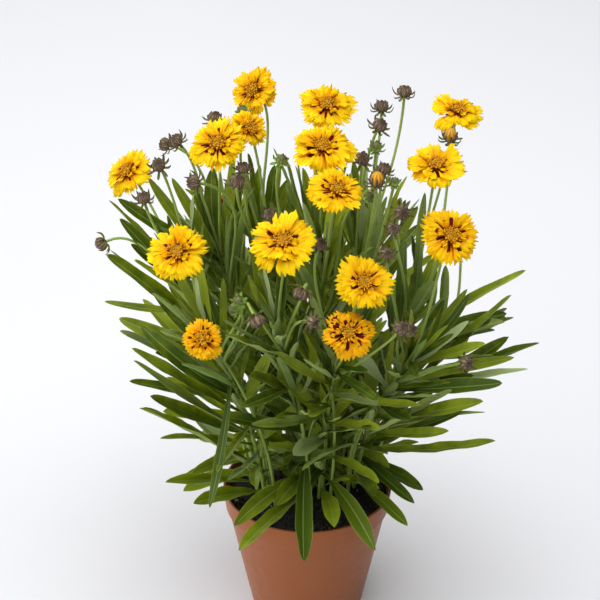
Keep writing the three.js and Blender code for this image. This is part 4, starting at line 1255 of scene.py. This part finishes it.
class HeadSettings(bpy.types.PropertyGroup):
    scale_dark: tint("Dark scale", "Darker fibres of the scales", "#33241a")
    scale_pale: tint("Pale scale", "Paler fibres of the scales", "#816b52")
    bract_green: tint("Bract foot", "Grey-green foot of the bracts", "#6d7b34")
    bract_brown: tint("Bract tip", "Brown tip of the bracts", "#54481f")


class StageSettings(bpy.types.PropertyGroup):
    floor: tint("Floor", "Colour of the pale floor", "#e2e2e4")
    # Painted shade: this darker floor colour stands in for light that falls off towards the right.
    floor_painted_shade: tint("Floor painted shade", "Colour of the floor far to the right", "#d2d2d5")
    key_power: FloatProperty(
        name="Key light", description="Power of the large light", default=88, min=0, unit="POWER"
    )
    sky: FloatProperty(name="Sky", description="Strength of the even light", default=0.7, min=0)


# ---- One operator for each piece or group of pieces --------------------------------------------------


def shapes():
    """The templates that the plant's parts are copied from."""
    return {
        "leaf": slab(6, 13),
        "ray": slab(TEETH, 8),
        "small_ray": slab(TEETH, 4),
        "scale": slab(4, 6),
        "bract": slab(2, 6),
        "shoot": rod(8, 20),
        "stalk": rod(8, 16),
        "egg": rod(12, 8),
        "floret": rod(6, 3),
    }


# How far the tip of a stalk lies behind the seat of what it bears.
STALK_SINK = {"bloom": 1, "head": 0, "bud": 0.5}


def bearing(shoot):
    """What a shoot bears, in the order that its stalks were grown in."""
    for kind, first, table in (("bloom", 0, BLOOMS), ("head", 100, HEADS), ("bud", 200, BUDS)):
        for number, (owner, middle, turns, size) in enumerate(table, 1):
            if owner == shoot:
                aim = facing(turns)
                depth = {"bloom": BLOOM_DEPTH + FIT_GAP, "head": size + FIT_GAP, "bud": 0}[kind]
                yield kind, first + number, point(*middle) - aim * depth, aim, size


def solid_leaves(number, solid):
    """Every leaf that the solid of a shoot holds, by its pair and corner."""
    found = {}
    for order, (owner, *_) in enumerate(REACHING_LEAVES):
        if owner == number:
            index, corner = reaching_socket(order, found)
            leaf = kept_leaf(solid, lambda attempt: reaching_leaf(order, index, attempt))
            if leaf:
                found[number, index, corner] = leaf
    for index in range(len(LEAF_PAIRS)):
        for corner in (index % 2, index % 2 + 2):
            if (number, index, corner) not in found:
                leaf = kept_leaf(solid, lambda attempt: pair_leaf(number, index, corner, attempt))
                if leaf:
                    found[number, index, corner] = leaf
    return found


# Slender leaves that fill the clump: shoot, share of its height, tip, width, waxy bloom with painted
# sheen.
FILLING_LEAVES = [
    (14, 0.97, [100, 10, 289], 7, 0),
    (14, 0.9, [140, -30, 264], 5, 0),
    (8, 0.75, [57, -30, 282], 10, 0),
    (3, 0.9, [-97, 20, 354], 8, 0),
    (8, 0.95, [73, -10, 323], 7, 0),
    (10, 0.95, [-20, 36, 355], 7, 0),
    (11, 0.97, [-9, 30, 359], 9, 0),
    (3, 0.85, [-80, 10, 337], 8, 0),
    (3, 0.97, [-67, 20, 362], 7, 0),
    (10, 0.9, [-45, 20, 364], 7, 0),
    (4, 0.5, [-21, -75, 262], 8, 0.9),
    (7, 0.38, [73, -60, 205], 9, 0.9),
    (8, 0.5, [103, -40, 219], 7, 0.8),
    (2, 0.75, [-130, -40, 260], 6.5, 0.9),
    (3, 0.6, [-20, -60, 280], 6, 0.2),
    (3, 0.97, [-53, 20, 371], 8, 0),
    (10, 0.97, [-43, 32, 368], 7, 0),
    (11, 0.9, [-8, 38, 362], 5, 0),
    (9, 0.97, [32, 15, 370], 8, 0),
    (8, 0.93, [81, -15, 359], 7, 0),
    (8, 0.8, [66, -40, 335], 8, 0),
    (1, 0.93, [-126, -5, 314], 8, 0),
    (14, 0.97, [144, 5, 245], 8, 0.3),
    (14, 0.9, [136, -10, 246], 8, 0),
    (8, 0.5, [148, -35, 238], 9, 0),
    (7, 0.38, [102, -60, 226], 8, 0.5),
    (7, 0.3, [110, -60, 208], 8, 0),
    (2, 0.2, [-118, -55, 208], 9, 0),
    (9, 0.9, [70, 10, 360], 5, 0),
]


def filling_leaf(order):
    """A slender leaf with a given tip, bowed up a little."""
    number, share, place, width, _ = FILLING_LEAVES[order]
    start, _ = at(CURVES[number - 1], share)
    span = point(*place) - start
    out = unit(span * (1, 1, 0))
    bow = 0.06 * np.linalg.norm(span) * (UP + 0.6 * out * spread(order, 1, FILLING_FORM))
    curve = (start, start + span * 0.5 + bow, start + span)
    side = point(-out[1], out[0], 0)
    twist = 0.8 * spread(order, 2, FILLING_FORM) + FRONT_ROLL * out[0]
    return {"curve": curve, "side": side, "width": width, "spatulate": False, "twist": twist}


# Shoots that bear fewer small leaves low down, and none beside their top pairs.
THIN_SHOOTS = (8, 14)

# Small leaves: how far above their pair they grow, and slant, length and width as shares of its own.
BETWEEN_PAIRS = (0.05, 0.95, 0.92, 0.74)
TUFT = (0.01, 0.6, 0.5, 0.5)
TOP_TUFT = (0.01, 0.45, 0.8, 0.5)
TOP_PAIR = 7


def small_leaves(number, tuft):
    """Smaller leaves between the pairs and in tufts beside them, which fill the clump."""
    thin = number in THIN_SHOOTS
    for index, (share, length, width, slant, droop) in enumerate(LEAF_PAIRS):
        top = index >= TOP_PAIR
        for corner in range(4 + tuft if top else 2 + tuft):
            key = 5000 + 100 * number + 10 * index + corner
            between = corner < 2
            above, steep, long, wide = BETWEEN_PAIRS if between else TOP_TUFT if top else TUFT
            if 0 < index < 4 and draw(key, 7, SMALL_LEAF_FORM) < (0.6 if thin else 0.35):
                continue
            turn = corner_turn(number, index % 2 + (1 + 2 * corner if between else 2 * corner))
            turn += 0.6 * spread(key, 1, SMALL_LEAF_FORM)
            if (index < 2 and abs(math.cos(turn)) > 0.7) or (top and thin):
                continue
            yield key, slanting_leaf(
                number,
                min(1, share + above),
                turn,
                slant=math.radians(slant * steep + 16 * spread(key, 2, SMALL_LEAF_FORM)),
                droop=droop * (1 + 0.9 * spread(key, 3, SMALL_LEAF_FORM)),
                length=length * (long + 0.16 * spread(key, 4, SMALL_LEAF_FORM)),
                sway=PAIR_SWAY * spread(key, 7, SMALL_LEAF_FORM),
                width=width * (wide + 0.1 * spread(key, 5, SMALL_LEAF_FORM)),
                spatulate=index == 0,
                twist=1.1 * spread(key, 6, SMALL_LEAF_FORM) + PAIR_FRONT_ROLL * math.cos(turn),
            )


def side_stems(number, count):
    """Thin stems that rise from the soil beside a shoot and lean into its leafy top."""
    crown, middle, _ = CURVES[number - 1]
    for k in range(count):
        key = 10 * number + k
        turn = 2 * math.pi * (draw(key, 1, SIDE_STEM_FORM) + k / count)
        aside = point(math.cos(turn), math.sin(turn), 0)
        foot = crown + aside * (5 + 5 * draw(key, 2, SIDE_STEM_FORM)) - UP * 6
        bow = lerp(crown, middle, 0.9) + aside * (14 + 9 * draw(key, 3, SIDE_STEM_FORM))
        goal, _ = at(CURVES[number - 1], 0.7 + 0.28 * draw(key, 4, SIDE_STEM_FORM))
        yield foot, bow, goal


def leaf_tone_with_painted_shade(leaf, key):
    """How light a leaf's green is: a random tone, with painted shade that deepens the outer leaves, and
    a deeper green on the low ones.
    """
    x, y, z = leaf["curve"][-1]
    # Painted shade: leaves whose tips lie far out from the plant's axis are made a deeper green.
    outer = ramp(math.hypot(x, y), 60, 140)
    low = ramp(z, 180, 130)
    return 0.05 + 0.9 * spread(key, 1, LEAF_AGE) - 0.75 * outer - 0.35 * low


def bloom_and_painted_sheen(leaf, key):
    """How grey a leaf is, partly from a waxy bloom and partly from painted sheen: one leaf in six has
    it, but none of the lowest.
    """
    return ramp(leaf["curve"][-1][2], 125, 165) * max(0, draw(key, 5, LEAF_AGE) * 6 - 5)


# Radii from foot to top, and the first number of the draws for filling leaves.
ROOT_RADII = (1.6, 1.6)
SHOOT_RADII = (1.7, 1.6, 1.5, 1.35, 1.15, 1.0)
SIDE_STEM_RADII = (1.3, 1.2, 1.0, 0.8)
STALK_RADII = (1.25, 1.1, 1.0, 0.95, 1.05)
FILLING_KEY = 9000


def grow_stem(number, parts, finishes, settings):
    """One shoot with all its leaves, stalks, cups and buds, and how many leaves its solid holds."""
    name = f"leafy_stem_{number:02d}"
    solid = Solid(name)
    growth = Growth()

    def grow(leaf, key, mark):
        grow_leaf(growth, parts["leaf"], leaf, key, leaf_tone_with_painted_shade(leaf, key), mark)

    crown = CURVES[number - 1][0]
    root = (crown - UP * (ROOT_DEPTH - FIT_GAP), crown + UP * 0.5)
    grow_rod(growth, parts["shoot"], root, ROOT_RADII, STEM)
    grow_rod(growth, parts["shoot"], CURVES[number - 1], SHOOT_RADII, STEM)
    for curve in side_stems(number, settings.side_stems):
        grow_rod(growth, parts["shoot"], curve, SIDE_STEM_RADII, STEM)
    found = solid_leaves(number, solid)
    for (_, index, corner), leaf in found.items():
        key = 1000 * number + 10 * index + corner
        age = max(0, 0.5 - 0.35 * index) * draw(key, 0, LEAF_AGE)
        grow(leaf, key, age - bloom_and_painted_sheen(leaf, key))
    for key, leaf in small_leaves(number, settings.tuft):
        grow(leaf, key, -bloom_and_painted_sheen(leaf, key))
    for order, (owner, *_, bloom) in enumerate(FILLING_LEAVES):
        if owner == number:
            grow(filling_leaf(order), FILLING_KEY + order, -bloom)
    for order, (kind, key, seat, aim, size) in enumerate(bearing(number)):
        end = seat - aim * STALK_SINK[kind]
        stalk = kept_stalk(solid, lambda attempt: stalk_curve(number, order, end, aim, attempt))
        grow_rod(growth, parts["stalk"], stalk, STALK_RADII, STEM)
        if kind == "bloom":
            grow_cup(growth, parts, placer(seat, aim), key)
        elif kind == "bud":
            low = placer(seat - aim * size, aim)
            grow_head(growth, parts, low, size * 0.95, key, (BRACT, BRACT, BRACT), tall=BUD_TALL)
    dress(growth.piece(f"foliage_{number:02d}", finishes), name)
    return len(found)


POT_SIDES = 144
DRAIN_HOLES = 4


class COREOPSIS_OT_pot(bpy.types.Operator):
    """Builds the nursery pot with its rim band and drain holes"""

    bl_idname = "coreopsis.pot"
    bl_label = "Pot"

    def execute(self, context):
        settings = context.scene.coreopsis_pot
        body_top = POT_RIM_RADIUS - RIM_BAND_STEP - POT_WALL
        band_foot = POT_HEIGHT - RIM_BAND_HEIGHT
        rings = [
            (POT_BASE_RADIUS, 0),
            (body_top, band_foot),
            (body_top + RIM_BAND_STEP, band_foot + 0.8),
            (POT_RIM_RADIUS, POT_HEIGHT),
            (POT_RIM_RADIUS - RIM_LIP, POT_HEIGHT),
            (body_top - POT_WALL, band_foot),
            (POT_BASE_RADIUS - POT_WALL, POT_FLOOR),
        ]
        pot = turned_cup("nursery_pot", rings, POT_SIDES)
        apply_modifier(pot, "BEVEL", width=settings.edge, segments=3, angle_limit=math.radians(35))
        for k in range(DRAIN_HOLES):
            turn = 2 * math.pi / DRAIN_HOLES * (k + 0.5)
            place = (DRAIN_CIRCLE * math.cos(turn) * MM, DRAIN_CIRCLE * math.sin(turn) * MM, 0)
            deselect()
            bpy.ops.mesh.primitive_cylinder_add(
                vertices=32, radius=DRAIN_RADIUS * MM, depth=4 * POT_FLOOR * MM, location=place
            )
            drill = context.object
            apply_modifier(pot, "BOOLEAN", object=drill, operation="DIFFERENCE", solver="EXACT")
            bpy.data.objects.remove(drill)
        pot.data.materials.clear()
        pot.data.materials.append(pot_finish(settings))
        smooth(pot, POT_CREASE)
        dress(pot, "pot")
        return {"FINISHED"}


# The peat's foot and shoulder as (radius, height), the rings and sides of its surface, and how far
# out its loose crumbs lie.
SOIL_FOOT = (42, 2.5)
SOIL_SHOULDER = (61, 96.5)
SOIL_RINGS = 40
SOIL_SIDES = 120
CRUMBS_REACH = 60


def soil_height(x, y):
    """The gently uneven surface of the peat."""
    out = math.hypot(x, y) / POT_RIM_RADIUS
    swell = SOIL_SWELL * math.sin(x / 9 + 1.3) * math.sin(y / 11 + 0.4)
    return SOIL_TOP - SOIL_SINK * out**4 + swell


class COREOPSIS_OT_soil(bpy.types.Operator):
    """Builds the peat with its crumbly surface and loose crumbs"""

    bl_idname = "coreopsis.soil"
    bl_label = "Soil"

    def execute(self, context):
        settings = context.scene.coreopsis_soil
        rings = [SOIL_FOOT, SOIL_SHOULDER]
        rings += [(SOIL_SHOULDER[0] * (1 - k / SOIL_RINGS), SOIL_TOP) for k in range(1, SOIL_RINGS)]
        soil = turned_cup("peat", rings, SOIL_SIDES)
        for vertex in soil.data.vertices:
            x, y, z = vertex.co / MM
            if z > SOIL_TOP - 1:
                lumps = 1.1 * noise.noise(Vector((x, y, 0)) / 3.5)
                lumps += 0.7 * noise.noise(Vector((x, y, 9)) / 1.6)
                vertex.co.z = (soil_height(x, y) + lumps) * MM
        crumb = self.crumb()
        growth = Growth()
        for k in range(settings.crumbs):
            radius = CRUMBS_REACH * math.sqrt(draw(k, 1, CRUMB_FORM))
            turn = 2 * math.pi * draw(k, 2, CRUMB_FORM)
            x, y = radius * math.cos(turn), radius * math.sin(turn)
            size = 0.5 + 1.3 * draw(k, 3, CRUMB_FORM) ** 2
            stretch = np.array([1 + 0.4 * spread(k, axis, CRUMB_STRETCH) for axis in range(3)])
            jitter = 1 + 0.25 * np.array([spread(k, n, CRUMB_DENTS) for n in range(len(crumb.points))])
            shape = crumb.points * stretch * jitter[:, None] * size
            shape += (x, y, soil_height(x, y) + 0.35 * size)
            pale = 1.0 if draw(k, 4, CRUMB_FORM) > 0.985 else 0.0
            growth.add(crumb, shape, shape[:, 0], shape[:, 1], 0, pale)
        peat = peat_finish(settings)
        crumbs = growth.piece("peat_crumbs", [peat])
        attribute = soil.data.attributes.new("tone", "FLOAT", "FACE")
        attribute.data.foreach_set("value", [0.0] * len(soil.data.polygons))
        soil.data.materials.append(peat)
        smooth(soil, SOIL_CREASE)
        dress(soil, "soil")
        dress(crumbs, "soil")
        return {"FINISHED"}

    def crumb(self):
        """One crumb, before it is stretched and dented."""
        deselect()
        bpy.ops.mesh.primitive_ico_sphere_add(subdivisions=1, radius=1)
        template = Template(bpy.context.object)
        template.under[:] = 0
        return template


class COREOPSIS_OT_foliage(bpy.types.Operator):
    """Grows the fourteen leafy stems with their leaves, stalks, cups and buds"""

    bl_idname = "coreopsis.foliage"
    bl_label = "Leafy stems"

    def execute(self, context):
        settings = context.scene.coreopsis_foliage
        parts = shapes()
        finishes = [leaf_finish(settings), stem_finish(settings), bract_finish(settings)]
        numbers = range(1, len(SHOOTS) + 1)
        leaves = sum(grow_stem(number, parts, finishes, settings) for number in numbers)
        print("leaves found in the solids:", leaves)
        return {"FINISHED"}


class COREOPSIS_OT_blooms(bpy.types.Operator):
    """Grows the seventeen blooms with their toothed rays and domed discs"""

    bl_idname = "coreopsis.blooms"
    bl_label = "Blooms"

    def execute(self, context):
        settings = context.scene.coreopsis_bloom
        parts = shapes()
        finishes = [ray_finish(settings), disc_finish(settings)]
        for number, (_, middle, turns, diameter) in enumerate(BLOOMS, 1):
            aim = facing(turns)
            growth = Growth()
            place = placer(point(*middle) - aim * BLOOM_DEPTH, aim)
            grow_bloom(growth, parts, place, diameter, number)
            dress(growth.piece(f"flower_{number:02d}", finishes), f"bloom_{number:02d}")
        return {"FINISHED"}


class COREOPSIS_OT_heads(bpy.types.Operator):
    """Grows the twenty-seven spent and opening heads"""

    bl_idname = "coreopsis.heads"
    bl_label = "Spent heads"

    def execute(self, context):
        settings = context.scene.coreopsis_head
        parts = shapes()
        finishes = [scale_finish(settings), dry_bract_finish(settings), petal_tip_finish()]
        for number, (_, middle, turns, radius) in enumerate(HEADS, 1):
            aim = facing(turns)
            opening = number in OPENING_HEADS
            growth = Growth()
            place = placer(point(*middle) - aim * radius, aim)
            slots = (SCALE, BRACT_DRY, PETAL_TIP if opening else SCALE)
            grow_head(growth, parts, place, radius, 100 + number, slots, opening)
            dress(growth.piece(f"spent_head_{number:02d}", finishes), f"seed_head_{number:02d}")
        return {"FINISHED"}


FLOOR_SIZE = 12
KEY_PLACE = Vector((0.5, -0.6, 3.1))
KEY_AIM = Vector((0, 0, 0.1))
KEY_SIZE = 3.0
SKY_SLOPE = -2.3
CAMERA_PLACE = (-0.0057, -1.0859, 0.8579)
CAMERA_DOWN = 28.6
CAMERA_LENS = 102
CAMERA_SENSOR = 36
CAMERA_NEAR = 0.05


class COREOPSIS_OT_stage(bpy.types.Operator):
    """Sets the pale floor, the soft lights and the camera"""

    bl_idname = "coreopsis.stage"
    bl_label = "Stage"

    def execute(self, context):
        settings = context.scene.coreopsis_stage
        self.lay_floor(settings)
        self.light(context, settings)
        bpy.ops.object.camera_add(location=CAMERA_PLACE)
        camera = context.object
        camera.rotation_euler = (math.radians(90 - CAMERA_DOWN), 0, 0)
        camera.data.sensor_width = CAMERA_SENSOR
        camera.data.lens = CAMERA_LENS
        camera.data.clip_start = CAMERA_NEAR
        context.scene.camera = camera
        context.scene.view_settings.view_transform = "Standard"
        return {"FINISHED"}

    def lay_floor(self, settings):
        """Matt studio paper, pale and even in itself, with painted shade that darkens it a little
        towards the right and the front.
        """
        deselect()
        bpy.ops.mesh.primitive_plane_add(size=FLOOR_SIZE)
        floor = bpy.context.object
        floor.name = "floor"
        finish = Finish("studio_paper", Roughness=0.9)
        tree = finish.tree
        place = node(tree, "SeparateXYZ", {0: finish.here}).node.outputs
        # Painted shade: the floor colour darkens towards the right and the front, where the light falls
        # off.
        aside = node(tree, "MapRange", {"Value": place["X"], "From Min": -0.2, "From Max": 0.9})
        near = node(tree, "MapRange", {"Value": place["Y"], "From Min": 0.7, "From Max": -0.1})
        painted_falloff = node(tree, "Math", {0: near, 1: 0.4, 2: aside}, operation="MULTIPLY_ADD")
        darker = (settings.floor_painted_shade, painted_falloff, 0, 1, 1)
        floor.data.materials.append(finish.done(finish.painted(settings.floor, darker)))

    def light(self, context, settings):
        """One large soft light from above, and an even sky that is brighter to the left."""
        bpy.ops.object.light_add(type="AREA", location=KEY_PLACE)
        key = context.object
        key.name = "key"
        key.data.shape = "SQUARE"
        key.data.size = KEY_SIZE
        key.data.energy = settings.key_power
        key.rotation_euler = (KEY_AIM - KEY_PLACE).to_track_quat("-Z", "Y").to_euler()
        world = bpy.data.worlds.new("studio")
        context.scene.world = world
        world.use_nodes = True
        tree = world.node_tree
        way = node(tree, "SeparateXYZ", {0: node(tree, "TexCoord", out="Generated")})
        slope = {0: way.node.outputs["X"], 1: SKY_SLOPE * settings.sky, 2: settings.sky}
        slope = node(tree, "Math", slope, operation="MULTIPLY_ADD")
        strength = node(tree, "Math", {0: slope, 1: 0}, operation="MAXIMUM")
        sky = tree.nodes["Background"]
        feed(tree, sky.inputs, {"Color": colour("#f8f9fc"), "Strength": strength})


OPERATORS = (
    COREOPSIS_OT_stage,
    COREOPSIS_OT_pot,
    COREOPSIS_OT_soil,
    COREOPSIS_OT_foliage,
    COREOPSIS_OT_blooms,
    COREOPSIS_OT_heads,
)
SETTINGS = {
    "coreopsis_pot": PotSettings,
    "coreopsis_soil": SoilSettings,
    "coreopsis_foliage": FoliageSettings,
    "coreopsis_bloom": BloomSettings,
    "coreopsis_head": HeadSettings,
    "coreopsis_stage": StageSettings,
}


class COREOPSIS_PT_panel(bpy.types.Panel):
    """Lists the steps that build the coreopsis"""

    bl_idname = "COREOPSIS_PT_panel"
    bl_label = "Coreopsis"
    bl_space_type = "VIEW_3D"
    bl_region_type = "UI"
    bl_category = "Coreopsis"

    def draw(self, context):
        for operator in OPERATORS:
            self.layout.operator(operator.bl_idname)
        for name, group in SETTINGS.items():
            box = self.layout.box()
            for setting in group.__annotations__:
                box.prop(getattr(context.scene, name), setting)


def register():
    for group in (*SETTINGS.values(), *OPERATORS, COREOPSIS_PT_panel):
        bpy.utils.register_class(group)
    for name, group in SETTINGS.items():
        setattr(bpy.types.Scene, name, PointerProperty(type=group))


def unregister():
    for name in SETTINGS:
        delattr(bpy.types.Scene, name)
    for group in (COREOPSIS_PT_panel, *reversed(OPERATORS), *SETTINGS.values()):
        bpy.utils.unregister_class(group)


def main():
    register()
    for operator in OPERATORS:
        family, name = operator.bl_idname.split(".")
        getattr(getattr(bpy.ops, family), name)()


if __name__ == "__main__":
    main()
